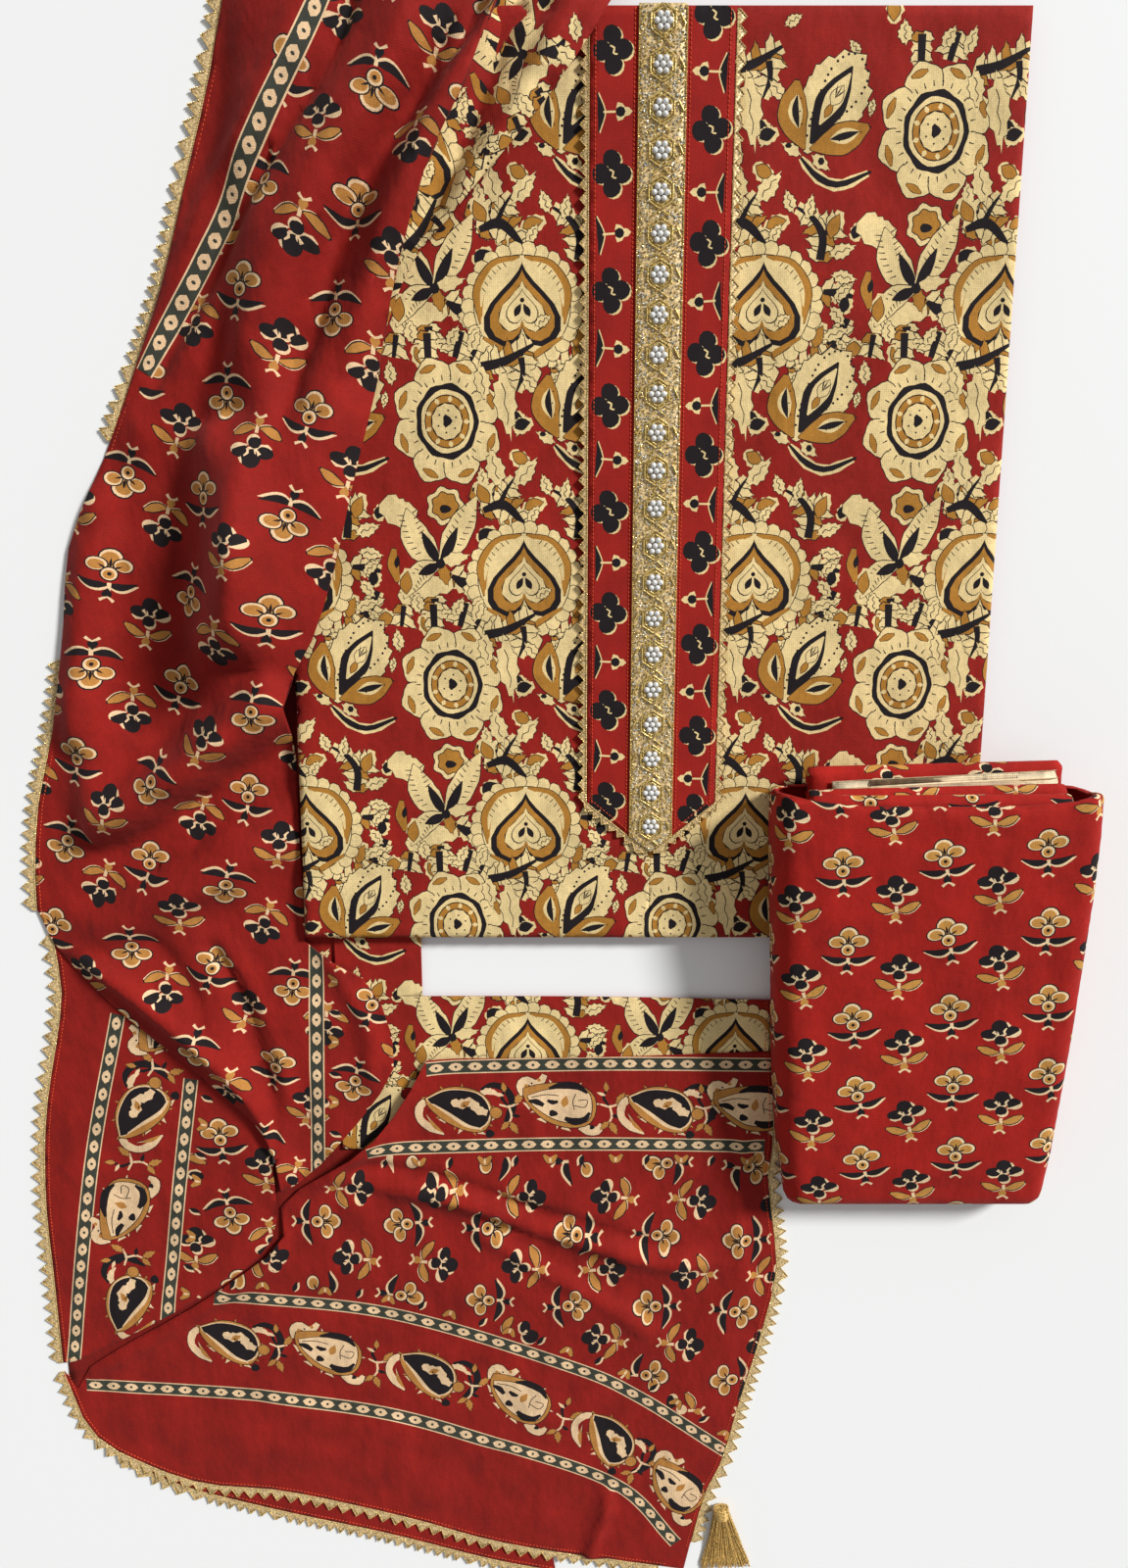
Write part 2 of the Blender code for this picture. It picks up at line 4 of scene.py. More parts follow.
import bmesh
import bpy
import numpy as np
from mathutils import Matrix, Vector
from mathutils.bvhtree import BVHTree
from mathutils.geometry import delaunay_2d_cdt


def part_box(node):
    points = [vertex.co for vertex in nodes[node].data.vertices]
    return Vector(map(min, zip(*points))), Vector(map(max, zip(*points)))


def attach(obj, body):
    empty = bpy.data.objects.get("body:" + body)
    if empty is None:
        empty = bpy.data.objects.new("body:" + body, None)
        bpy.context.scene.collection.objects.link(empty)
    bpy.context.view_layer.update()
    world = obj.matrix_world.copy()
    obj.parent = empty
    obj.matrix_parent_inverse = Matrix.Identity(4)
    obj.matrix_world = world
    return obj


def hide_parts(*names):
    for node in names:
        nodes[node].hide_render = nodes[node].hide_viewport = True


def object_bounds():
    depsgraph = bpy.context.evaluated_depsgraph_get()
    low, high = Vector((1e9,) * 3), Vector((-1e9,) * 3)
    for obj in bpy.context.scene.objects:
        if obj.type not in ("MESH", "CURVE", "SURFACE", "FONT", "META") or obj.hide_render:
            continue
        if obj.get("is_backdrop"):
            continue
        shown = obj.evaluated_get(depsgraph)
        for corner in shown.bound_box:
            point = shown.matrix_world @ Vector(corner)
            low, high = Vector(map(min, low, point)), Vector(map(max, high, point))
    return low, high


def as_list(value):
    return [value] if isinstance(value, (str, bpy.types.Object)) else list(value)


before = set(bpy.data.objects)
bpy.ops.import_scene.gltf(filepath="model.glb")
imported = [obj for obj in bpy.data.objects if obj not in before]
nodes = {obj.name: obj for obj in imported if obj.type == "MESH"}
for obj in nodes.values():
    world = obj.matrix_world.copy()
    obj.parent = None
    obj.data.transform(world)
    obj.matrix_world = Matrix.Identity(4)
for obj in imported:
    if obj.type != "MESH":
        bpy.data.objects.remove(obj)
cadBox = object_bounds()
print("frame loaded:", len(nodes), "nodes")


def linear(colour):  # an sRGB colour of 0-255 as linear light
    return tuple(v / 255 / 12.92 if v < 11 else ((v / 255 + 0.055) / 1.055) ** 2.4 for v in colour)


def makeObject(name, verts, faces, material=None):
    mesh = bpy.data.meshes.new(name)
    mesh.from_pydata([tuple(v) for v in verts], [], [tuple(f) for f in faces])
    mesh.update()
    obj = bpy.data.objects.new(name, mesh)
    bpy.context.scene.collection.objects.link(obj)
    if material:
        mesh.materials.append(material)
    mesh.polygons.foreach_set("use_smooth", [True] * len(mesh.polygons))
    return obj


def smoothLine(points, count):  # a smooth line through the points, evenly spaced
    pts = np.array(points, float)
    if len(pts) == 2:
        t = np.linspace(0, 1, count)[:, None]
        return pts[0] * (1 - t) + pts[1] * t
    ghost = np.vstack([2 * pts[0] - pts[1], pts, 2 * pts[-1] - pts[-2]])
    fine = []
    for a, b, c, d in zip(ghost, ghost[1:], ghost[2:], ghost[3:]):
        for t in np.linspace(0, 1, 12, endpoint=False):
            curve = 2 * b + (c - a) * t + (2 * a - 5 * b + 4 * c - d) * t * t
            fine.append(0.5 * (curve + (3 * b - a - 3 * c + d) * t ** 3))
    fine = np.array(fine + [pts[-1]])
    run = np.concatenate([[0], np.cumsum(np.linalg.norm(np.diff(fine, axis=0), axis=1))])
    want = np.linspace(0, run[-1], count)
    return np.stack([np.interp(want, run, fine[:, k]) for k in range(fine.shape[1])], 1)


def lineLength(points):
    return float(np.linalg.norm(np.diff(smoothLine(points, 80), axis=0), axis=1).sum())


def insidePolygon(x, y, polygon):
    hit = np.zeros(len(x), bool)
    for (x1, y1), (x2, y2) in zip(polygon, np.roll(polygon, -1, axis=0)):
        if y1 != y2:
            hit ^= ((y1 > y) != (y2 > y)) & (x < (x2 - x1) * (y - y1) / (y2 - y1) + x1)
    return hit


# Heights, read from the frame's own surfaces


def mergedCopy(name):  # a node's faces as a bmesh, its doubles merged
    bm = bmesh.new()
    bm.from_mesh(nodes[name].data)
    bmesh.ops.remove_doubles(bm, verts=bm.verts, dist=0.00001)
    return bm


def softGrid(z, known, cells):  # Gaussian blur that leaves what is unknown out
    reach = int(3 * cells) + 1
    kernel = np.exp(-0.5 * (np.arange(-reach, reach + 1) / cells) ** 2)
    out = []
    for layer in (np.where(known, z, 0), known.astype(float)):
        for axis in (0, 1):
            layer = np.apply_along_axis(lambda line: np.convolve(line, kernel)[reach:reach + len(line)], axis, layer)
        out.append(layer)
    return out[0] / np.maximum(out[1], 1e-9), out[1] > 1e-3


def heightOf(name, blur=0.006, step=0.003, edge=0.06):  # the height of a node's top as a function of x, y
    bm = mergedCopy(name)
    tree = BVHTree.FromBMesh(bm)
    low = np.min([v.co for v in bm.verts], axis=0)
    high = np.max([v.co for v in bm.verts], axis=0)
    bm.free()
    xs = np.arange(low[0] - edge, high[0] + edge, step)
    ys = np.arange(low[1] - edge, high[1] + edge, step)
    z, known = np.zeros((len(ys), len(xs))), np.zeros((len(ys), len(xs)), bool)
    for j, y in enumerate(ys):
        if low[1] <= y <= high[1]:
            for i, x in enumerate(xs):
                hit = tree.ray_cast(Vector((x, y, 1)), Vector((0, 0, -1)))[0] if low[0] <= x <= high[0] else None
                if hit:
                    z[j, i], known[j, i] = hit.z, True
    filled, reached = softGrid(z, known, max(blur / step, 0.3))
    for wide in (2, 4, 8, 16):  # fills outwards from the known part
        more, there = softGrid(z, known, wide)
        filled = np.where(reached, filled, more)
        reached |= there

    def height(x, y):
        u = np.clip((np.asarray(x) - xs[0]) / step, 0, len(xs) - 1.001)
        v = np.clip((np.asarray(y) - ys[0]) / step, 0, len(ys) - 1.001)
        i, j = u.astype(int), v.astype(int)
        fu, fv = u - i, v - j
        return ((filled[j, i] * (1 - fu) + filled[j, i + 1] * fu) * (1 - fv)
                + (filled[j + 1, i] * (1 - fu) + filled[j + 1, i + 1] * fu) * fv)

    return height


def planOutline(name, least=0.25):  # the outline, seen from above, of a cloth node's upper face
    bm = mergedCopy(name)
    bm.normal_update()
    upper = {f for f in bm.faces if f.normal.z > least}
    links = {}
    for edge in bm.edges:
        sides = [f for f in edge.link_faces if f in upper]
        if len(sides) == 1:
            loop = next(l for l in sides[0].loops if l.edge == edge)
            links.setdefault(loop.vert, []).append(loop.link_loop_next.vert)
    best = []
    while links:
        start = next(iter(links))
        path, v = [], start
        while v in links:
            path.append((v.co.x, v.co.y))
            ahead = links[v].pop()
            if not links[v]:
                del links[v]
            v = ahead
        if len(path) > len(best):
            best = path
    bm.free()
    return np.array(best)


def levelAt(z):  # the height function of a cloth that lies flat
    return lambda x, y: np.full(len(x), z)


def foldShape(x, y, folds):  # height that the fine folds add: rows of points, height, half width, in millimetres
    add = np.zeros(len(x))
    for points, height, half in folds:
        line, height, half = smoothLine(np.array(points) / 1000, 40), height / 1000, half / 1000
        gap = np.full(len(x), 1e9)
        share = np.zeros(len(x))
        for k, (a, b) in enumerate(zip(line, line[1:])):
            d = b - a
            t = np.clip(((x - a[0]) * d[0] + (y - a[1]) * d[1]) / max(d @ d, 1e-12), 0, 1)
            far = np.hypot(x - a[0] - d[0] * t, y - a[1] - d[1] * t)
            nearer = far < gap
            gap, share = np.where(nearer, far, gap), np.where(nearer, (k + t) / (len(line) - 1), share)
        fade = np.clip(np.minimum(share, 1 - share) * 5, 0, 1)
        add += height * np.exp(-(gap / half) ** 2) * fade * (2 - fade)
    return add


# Block print: flat shapes in millimetres


def polar(angle, wide, tall):  # a point of an ellipse round the origin
    return wide * math.cos(angle), tall * math.sin(angle)


def ring(radius, wave=0.0, lobes=0, count=24, at=(0, 0), squash=1.0, turn=0.0):
    a = np.linspace(0, 2 * math.pi, count, endpoint=False)
    r = radius * (1 + wave * np.cos(lobes * a))
    return np.stack([at[0] + r * np.cos(a + turn), at[1] + r * squash * np.sin(a + turn)], 1)


def strip(spine, widths, count=12):  # a shape of changing width along a spine: stems, leaves, drops
    line = smoothLine(spine, count)
    half = np.interp(np.linspace(0, 1, count), np.linspace(0, 1, len(widths)), widths) / 2
    way = np.gradient(line, axis=0)
    way /= np.maximum(np.linalg.norm(way, axis=1), 1e-9)[:, None]
    side = np.stack([-way[:, 1], way[:, 0]], 1) * half[:, None]
    return np.vstack([line + side, (line - side)[::-1]])


def leaf(at, angle, length, width, bend=0.0, count=8):
    a = math.radians(angle)
    along, across = np.array((math.cos(a), math.sin(a))), np.array((-math.sin(a), math.cos(a)))
    at = np.array(at, float)
    spine = [at, at + along * length * 0.5 + across * bend, at + along * length]
    return strip(spine, (0.15, width * 0.85, width, width * 0.6, 0.15), count)


def toothed(at, angle, length, width, teeth=4):  # a jagged leaf
    body = leaf(at, angle, length, width, 0, teeth * 2 + 2)
    middle = body.mean(axis=0)
    body[1::2] = middle + (body[1::2] - middle) * 1.28
    return body


def placed(shapes, at, turn=0.0, size=1.0, flip=False):
    a = math.radians(turn)
    spin = np.array(((math.cos(a), -math.sin(a)), (math.sin(a), math.cos(a))))
    out = []
    for ink, points in shapes:
        p = np.array(points, float) * ((-size if flip else size), size)
        out.append((ink, p @ spin.T + np.array(at)))
    return out


# Metres: the mesh's step, the cloth's wall, its lift off the frame's shape, its top's least height, the room under it
# and over the floor
clothLook = {"step": 0.0055, "thick": 0.0006, "lift": 0.0002, "leastHeight": 0.0014, "underRoom": 0.0006,
             "floorRoom": 0.0001}


def inkLayer(outline, shapes, step):
    # Cuts the outline's inside along every printed shape, and says which ink each face has
    low, high = outline.min(axis=0), outline.max(axis=0)
    xs, ys = np.arange(low[0] + step / 2, high[0], step), np.arange(low[1] + step / 2, high[1], step)
    gx, gy = np.meshgrid(xs, ys)
    gx[1::2] += step / 2
    keep = insidePolygon(gx.ravel(), gy.ravel(), outline)
    points = [tuple(p) for p in outline]
    edges = [(k, (k + 1) % len(outline)) for k in range(len(outline))]
    for ink, shape in shapes:
        if (shape.max(axis=0) < low).any() or (shape.min(axis=0) > high).any():
            continue
        first = len(points)
        points += [tuple(p) for p in shape]
        edges += [(first + k, first + (k + 1) % len(shape)) for k in range(len(shape))]
    points += [(x, y) for x, y in zip(gx.ravel()[keep], gy.ravel()[keep])]
    verts, _, faces, _, _, _ = delaunay_2d_cdt([Vector(p) for p in points], edges, [], 0, 1e-6, False)
    verts = np.array([tuple(v) for v in verts])
    faces = np.array([f for f in faces if len(f) == 3])
    middle = verts[faces].mean(axis=1)
    within = insidePolygon(middle[:, 0], middle[:, 1], outline)
    faces, middle = faces[within], middle[within]
    order = np.argsort(middle[:, 0])
    sortedX = middle[order, 0]
    inks = np.zeros(len(faces), int)
    names = ["ground"]
    for ink, shape in shapes:
        a, b = np.searchsorted(sortedX, (shape[:, 0].min(), shape[:, 0].max()))
        pick = order[a:b]
        y = middle[pick, 1]
        pick = pick[(y > shape[:, 1].min()) & (y < shape[:, 1].max())]
        if len(pick):
            if ink not in names:
                names.append(ink)
            inks[pick[insidePolygon(middle[pick, 0], middle[pick, 1], shape)]] = names.index(ink)
    return verts, faces, inks, names


def printedCloth(name, outline, shapes, height, inks, material, step=0.005, thick=0.0006, place=None):
    # A thin closed cloth over a height field, or wherever place(u, v, depth) puts the flat cloth's points
    verts, faces, ink, names = inkLayer(outline, shapes, step)
    used = np.unique(faces)
    renumber = np.full(len(verts), -1)
    renumber[used] = np.arange(len(used))
    verts, faces = verts[used], renumber[faces]
    if place is None:
        def place(u, v, depth):
            if not depth:
                return np.column_stack([u, v, height(u, v)])
            # the coarser underside keeps below the top, also where the cloth bends sharply
            near = [height(u + a, v + b) for a, b in ((0, 0), (step, 0), (-step, 0), (0, step), (0, -step))]
            low = np.where(onRim, near[0], np.min(near, axis=0) - clothLook["underRoom"])
            return np.column_stack([u, v, np.maximum(low - depth, clothLook["floorRoom"])])
    cross = np.cross(verts[faces[:, 1]] - verts[faces[:, 0]], verts[faces[:, 2]] - verts[faces[:, 0]])
    faces = np.where((cross < 0)[:, None], faces[:, ::-1], faces)
    flat = faces.tolist()
    count = len(verts)
    halves = {}
    for a, b, c in flat:
        for pair in ((a, b), (b, c), (c, a)):
            halves[pair] = True
    rimEdges = [(a, b) for a, b in halves if (b, a) not in halves]
    # the underside is coarser, and meets the rim point for point
    onward, rimLoop = dict(rimEdges), []
    while onward:
        at, loop = next(iter(onward)), []
        while at in onward:
            loop.append(at)
            at = onward.pop(at)
        if len(loop) > len(rimLoop):
            rimLoop = loop
    under, underFaces, _, _ = inkLayer(verts[rimLoop], [], step * 2)
    rimSpots = {tuple(np.round(verts[v], 7)) for v in rimLoop}
    cross = np.cross(under[underFaces[:, 1]] - under[underFaces[:, 0]],
                     under[underFaces[:, 2]] - under[underFaces[:, 0]])
    underFaces = np.where((cross > 0)[:, None], underFaces[:, ::-1], underFaces)
    underAt = {tuple(np.round(p, 7)): k for k, p in enumerate(under)}
    onRim = np.array([tuple(np.round(p, 7)) in rimSpots for p in under])
    walls = []
    for a, b in rimEdges:
        c, d = (underAt.get(tuple(np.round(verts[v], 7))) for v in (a, b))
        if c is not None and d is not None:
            walls.append((b, a, c + count, d + count))
    if len(walls) < len(rimEdges):  # a pinched outline: the underside copies the top
        under, underFaces = verts, faces[:, ::-1]
        onRim = np.isin(np.arange(count), [a for a, b in rimEdges])
        walls = [(b, a, a + count, b + count) for a, b in rimEdges]
    allFaces = flat + [tuple(f) for f in (underFaces + count).tolist()] + walls
    obj = makeObject(name, np.vstack([place(verts[:, 0], verts[:, 1], 0.0), place(under[:, 0], under[:, 1], thick)]),
                     allFaces, material)
    palette = np.array([linear(inks[n]) + (1.0,) for n in names])
    colours = np.vstack([np.repeat(palette[ink], 3, axis=0), np.tile(palette[0],
            (3 * len(underFaces) + 4 * len(walls), 1))])
    layer = obj.data.color_attributes.new("ink", "BYTE_COLOR", "CORNER")
    layer.data.foreach_set("color", colours.astype(np.float32).ravel())
    print(" ", name, len(allFaces), "faces")
    return obj


# Materials


def newMaterial(name):
    mat = bpy.data.materials.new(name)
    mat.use_nodes = True
    tree = mat.node_tree
    return mat, tree, tree.nodes["Principled BSDF"]


def node(tree, kind, **settings):
    made = tree.nodes.new(kind)
    for key, value in settings.items():
        if hasattr(made, key):
            setattr(made, key, value)
        else:
            made.inputs[key.replace("_", " ")].default_value = value
    return made


def noiseOf(tree, place, scale, detail=3.0, rough=0.55, stretch=(1, 1, 1)):
    mapping = node(tree, "ShaderNodeMapping")
    mapping.inputs["Scale"].default_value = stretch
    tree.links.new(place, mapping.inputs["Vector"])
    noise = node(tree, "ShaderNodeTexNoise", Scale=scale, Detail=detail, Roughness=rough)
    tree.links.new(mapping.outputs[0], noise.inputs["Vector"])
    return noise.outputs["Fac"]


def span(tree, value, low, high, start=0.0, end=1.0):
    ramp = node(tree, "ShaderNodeMapRange")
    for key, number in (("From Min", start), ("From Max", end), ("To Min", low), ("To Max", high)):
        ramp.inputs[key].default_value = number
    tree.links.new(value, ramp.inputs["Value"])
    return ramp.outputs["Result"]


def addUp(tree, values):
    total = values[0]
    for value in values[1:]:
        plus = node(tree, "ShaderNodeMath", operation="ADD")
        tree.links.new(total, plus.inputs[0])
        tree.links.new(value, plus.inputs[1])
        total = plus.outputs[0]
    return total


# How the cotton looks: noise scales, how far the grain shades it, and the depths of its weave and creases in metres
cotton = {"threads": 1500, "rough": 0.86, "sheen": 0.015, "patchScale": 38, "grainScale": 900, "grainShade": 0.16,
          "threadDepth": 0.00004, "creaseScale": 26, "swellScale": 9, "swellShare": 1.6, "sheenRough": 0.5,
          "specular": 0.25}


def clothMaterial(name, tint=None, crumple=0.0016, wash=0.16):
    # Printed cotton: the ink's colour, a little uneven as a hand block leaves it, over a plain weave
    mat, tree, shader = newMaterial(name)
    place = node(tree, "ShaderNodeTexCoord").outputs["Object"]
    if tint is None:
        colour = node(tree, "ShaderNodeVertexColor", layer_name="ink").outputs["Color"]
    else:
        plain = node(tree, "ShaderNodeRGB")
        plain.outputs[0].default_value = linear(tint) + (1,)
        colour = plain.outputs[0]
    patch = noiseOf(tree, place, cotton["patchScale"], 4)
    grain = noiseOf(tree, place, cotton["grainScale"], 2, 0.7)
    value = addUp(tree, [span(tree, patch, 1 - wash, 1 + wash, 0.3, 0.7),
                         span(tree, grain, -cotton["grainShade"], cotton["grainShade"], 0.3, 0.7)])
    shade = node(tree, "ShaderNodeHueSaturation")
    tree.links.new(colour, shade.inputs["Color"])
    tree.links.new(value, shade.inputs["Value"])
    tree.links.new(shade.outputs[0], shader.inputs["Base Color"])
    heights = []
    for axis in ("X", "Y"):
        wave = node(tree, "ShaderNodeTexWave", wave_type="BANDS", bands_direction=axis, Scale=cotton["threads"] / 6.283)
        wave.inputs["Distortion"].default_value = 0.6
        tree.links.new(place, wave.inputs["Vector"])
        heights.append(span(tree, wave.outputs["Fac"], 0, cotton["threadDepth"]))
    creases = noiseOf(tree, place, cotton["creaseScale"], 3, 0.5, (1.4, 0.8, 1))
    swell = noiseOf(tree, place, cotton["swellScale"], 2, 0.5, (1, 0.6, 1))
    heights.append(span(tree, creases, 0, crumple, 0.25, 0.75))
    heights.append(span(tree, swell, 0, crumple * cotton["swellShare"], 0.25, 0.75))
    bump = node(tree, "ShaderNodeBump", Strength=1.0, Distance=1.0)
    tree.links.new(addUp(tree, heights), bump.inputs["Height"])
    tree.links.new(bump.outputs[0], shader.inputs["Normal"])
    shader.inputs["Roughness"].default_value = cotton["rough"]
    shader.inputs["Sheen Weight"].default_value = cotton["sheen"]
    shader.inputs["Sheen Roughness"].default_value = cotton["sheenRough"]
    shader.inputs["Specular IOR Level"].default_value = cotton["specular"]
    return mat


metalLook = {"grain": 700, "depth": 0.0003, "dark": 0.62, "light": 1.12}


def metalMaterial(name, colour, rough, metal):
    mat, tree, shader = newMaterial(name)
    place = node(tree, "ShaderNodeTexCoord").outputs["Object"]
    speck = noiseOf(tree, place, metalLook["grain"], 2, 0.6)
    ramp = node(tree, "ShaderNodeValToRGB")
    dark, light = (linear([min(v * metalLook[key], 255) for v in colour]) for key in ("dark", "light"))
    ramp.color_ramp.elements[0].position, ramp.color_ramp.elements[1].position = 0.32, 0.66
    ramp.color_ramp.elements[0].color = dark + (1,)
    ramp.color_ramp.elements[1].color = light + (1,)
    tree.links.new(speck, ramp.inputs["Fac"])
    tree.links.new(ramp.outputs[0], shader.inputs["Base Color"])
    tree.links.new(span(tree, speck, rough + 0.12, rough - 0.1, 0.3, 0.7), shader.inputs["Roughness"])
    bump = node(tree, "ShaderNodeBump", Strength=1.0, Distance=1.0)
    tree.links.new(span(tree, speck, 0, metalLook["depth"]), bump.inputs["Height"])
    tree.links.new(bump.outputs[0], shader.inputs["Normal"])
    shader.inputs["Metallic"].default_value = metal
    return mat


kameezInks = {"ground": (142, 25, 16), "red": (142, 25, 16), "cream": (228, 202, 144), "ochre": (172, 118, 44),
              "black": (26, 18, 20)}
dupattaInks = {"ground": (136, 21, 13), "red": (136, 21, 13), "cream": (226, 192, 150), "tan": (178, 122, 58),
               "line": (58, 60, 50), "black": (26, 18, 20)}
salwarInks = {"ground": (158, 24, 15), "red": (158, 24, 15), "cream": (232, 204, 160), "tan": (192, 138, 66),
              "black": (26, 18, 20), "line": (58, 60, 50)}

kameezCloth = clothMaterial("kameezBlockPrint")
placketCloth = clothMaterial("placketBorderPrint", crumple=0.0006)
dupattaCloth = clothMaterial("dupattaThinCotton", crumple=0.0022)
salwarCloth = clothMaterial("salwarBlockPrint")
edgeCloth = clothMaterial("kameezFoldEdge", tint=(150, 28, 19))
goldThread = metalMaterial("gotaGoldThread", (232, 198, 142), metal=0.18, rough=0.4)
goldBead = metalMaterial("goldGlassBead", (226, 196, 116), metal=0.4, rough=0.24)
silverBead = metalMaterial("silverGlassBead", (226, 226, 214), metal=0.25, rough=0.2)
tasselThread = metalMaterial("tasselGoldThread", (216, 176, 100), metal=0.2, rough=0.42)
print("materials ready")

# Motifs


def jagged(spine, widths, extra=5.0, tooth=2.6, count=10):  # an uneven patch round a branch or leaf
    widths = np.interp(np.linspace(0, 1, count), np.linspace(0, 1, len(widths)), widths) + extra
    widths[1::2] += tooth
    widths[[0, -1]] *= 0.7
    return strip(spine, widths, count)


def outlined(ink, shape, line=0.7):  # a shape with a thin black edge
    middle = shape.mean(axis=0)
    out = shape - middle
    return [("black", middle + out * (1 + line / np.maximum(np.linalg.norm(out, axis=1), 1)[:, None])), (ink, shape)]


def rosetteMotif():
    s = []
    for k in range(8):
        a = math.radians(45 * k + 20)
        at = polar(a, 25, 29)
        s += outlined("cream", ring(11.6, 0.07, 5, 20, at, 1.05, a))
        rim = (31 * math.cos(a + 0.05), 35.5 * math.sin(a + 0.05))
        s += outlined("ochre", strip([(rim[0] - 5 * math.sin(a), rim[1] + 6 * math.cos(a)), rim,
                (rim[0] + 5 * math.sin(a), rim[1] - 6 * math.cos(a))], (1.5, 4.6, 1.5), 6), 0.5)
    s.append(("cream", ring(25, 0, 0, 20, squash=1.14)))
    for k in range(26):
        a = math.radians(360 / 26 * k)
        s.append(("black", strip([polar(a, 22, 26), polar(a, 25.2, 29.4)], (0.9, 0.5), 2)))
    s += [("black", ring(20.5, 0.03, 9, 36, squash=1.17)), ("cream", ring(17.2, 0.02, 7, 28, squash=1.17)),
          ("black", ring(14.9, 0, 0, 24, squash=1.15)), ("ochre", ring(14.2, 0, 0, 24, squash=1.15))]
    for k in range(9):
        a = math.radians(40 * k)
        s.append(("cream", leaf(polar(a, 10.8, 12.4), 40 * k, 4.2, 3.4, 0, 4)))
    s += [("black", ring(10.7, 0, 0, 22, squash=1.14)), ("cream", ring(9.9, 0.03, 11, 22, squash=1.14)),
          ("black", ring(3, 0.2, 3, 10, (0, 0.4), 1.3))]
    s += [("black", ring(0.8, 0, 0, 4, (6.3 * math.cos(1.05 * k + 0.4), 7 * math.sin(1.05 * k + 0.4))))
          for k in range(6)]
    return s


def featherMotif():  # three drops that fan out from one stem
    s = [("cream", jagged([(-3, -3), (8, -14), (22, -19), (40, -12)], (2, 4, 4, 2), 2.4, 1.2)),
         ("black", strip([(-3, -3), (8, -14), (22, -18.5), (42, -11)], (1.5, 4.2, 3.6, 1.6), 10))]
    big = strip([(0, 0), (9, 16), (21, 39), (30, 56)], (3, 24, 40, 38, 10), 18)
    s += outlined("cream", big * (1 + 0.03 * np.cos(np.arange(len(big)) * math.pi))[:, None])
    s += [("black", strip([(3, 5), (13, 25), (27, 49)], (2, 13, 21, 14, 1), 14)),
          ("cream", strip([(8, 16), (16, 30), (26, 45)], (1, 8, 12, 8, 1), 12))]
    s += outlined("ochre", leaf((11, 20), 60, 10, 4.2), 0.5) + outlined("cream", leaf((15, 27), 58, 13, 8), 0.5)
    s += [("black", leaf((17, 31), 58 + t, 8, 1, 0, 3)) for t in (-22, 0, 22)]
    for t in np.linspace(0.05, 0.95, 24):
        p = smoothLine([(-0.5, 6), (5, 27), (15, 49), (28, 56), (37, 45), (31, 30), (16, 16)], 60)[int(t * 59)]
        s.append(("black", ring(0.95, 0, 0, 5, p)))
    for spine, core in (([(-1, 2), (-9, 20), (-7, 41)], [(-5, 14), (-7.5, 24), (-6.5, 33)]),
                        ([(3, 2), (20, 7), (39, 15)], [(15, 7.5), (24, 9.5), (33, 12)])):
        s += outlined("ochre", strip(spine, (1.5, 12, 19, 15, 3), 14))
        s += [("cream", strip(core, (1, 7, 9.5, 7, 1), 10)),
              ("black", strip([core[0], core[1], core[2]], (0.4, 3.4, 4.6, 3.2, 0.4), 8))]
        line = smoothLine(spine, 12)
        s += [("black", ring(0.6, 0, 0, 4, p + (4.6, 1))) for p in line[4:11:2]]
    s += outlined("cream", toothed((-4, -1), 150, 12, 6, 3), 0.5) + outlined("cream", toothed((5, -2), -38, 12, 7, 3),
            0.5)
    s += [("black", ring(2.3, 0, 0, 6, (-11, 4), 0.7)), ("black", ring(2.2, 0, 0, 6, (10, -5), 1.1))]
    return s


def spade(size, at=(0, 0)):  # a heart on its head, in 26 points
    t = np.linspace(0, 2 * math.pi, 26, endpoint=False)
    x = 16 * np.sin(t) ** 3
    y = -(13 * np.cos(t) - 5 * np.cos(2 * t) - 2 * np.cos(3 * t) - np.cos(4 * t))
    return np.stack([at[0] + x * size / 17, at[1] + (y - 2) * size / 15], 1)


def medallionMotif():
    s = outlined("cream", jagged([(-9, -36), (0, -42), (9, -36)], (10, 13, 10), 3, 2, 8)) + [
        ("black", ring(2.6, 0, 0, 8, (0, -40), 1.4))]
    for k in range(26):
        a = math.radians(360 / 26 * k)
        s += outlined("cream", ring(5, 0, 0, 8, polar(a, 34.5, 34.5)), 0.55)
    s += [("black", ring(31.6, 0, 0, 36)), ("cream", ring(31, 0, 0, 36))]
    for f in (1, -1):
        s += outlined("ochre", strip([(f * 2, 30), (f * 17, 25), (f * 27.5, 10), (f * 27, -10)], (1.5, 7.5, 8, 1.5),
                14), 0.6)
        s.append(("cream", strip([(f * 7, 27.2), (f * 17, 23), (f * 25, 10), (f * 26.5, 0)], (0.8, 3.6, 4, 0.8), 10)))
        s += [("black", strip([(f * x, y), (f * (x + 2.2), y + 2.4)], (0.55, 0.55), 2)) for x,
              y in ((10, 24), (13.5, 22.4), (17, 19.6), (19.6, 16.4), (22, 12.8), (23.6, 9))]
    s += [("cream", spade(29)), ("black", spade(27, at=(0, 0.4))), ("ochre", spade(22.6)), ("black", spade(16.6)),
          ("cream", spade(16) * (1 + 0.03 * np.cos(np.arange(26) * math.pi))[:, None]), ("black", spade(11.4)),
          ("cream", spade(10.6))]
    s += [("black", leaf((-5, -6), 62, 9, 4.4)), ("black", leaf((5, -6), 118, 9, 4.4)),
          ("black", ring(1.6, 0, 0, 6, (0, 4)))]
    s += (outlined("ochre", strip([(-25, -19), (0, -31), (25, -19)], (2, 5.5, 2), 12), 0.6)
          + outlined("cream", ring(5, 0.2, 3, 12, (0, -29)), 0.6))
    return s


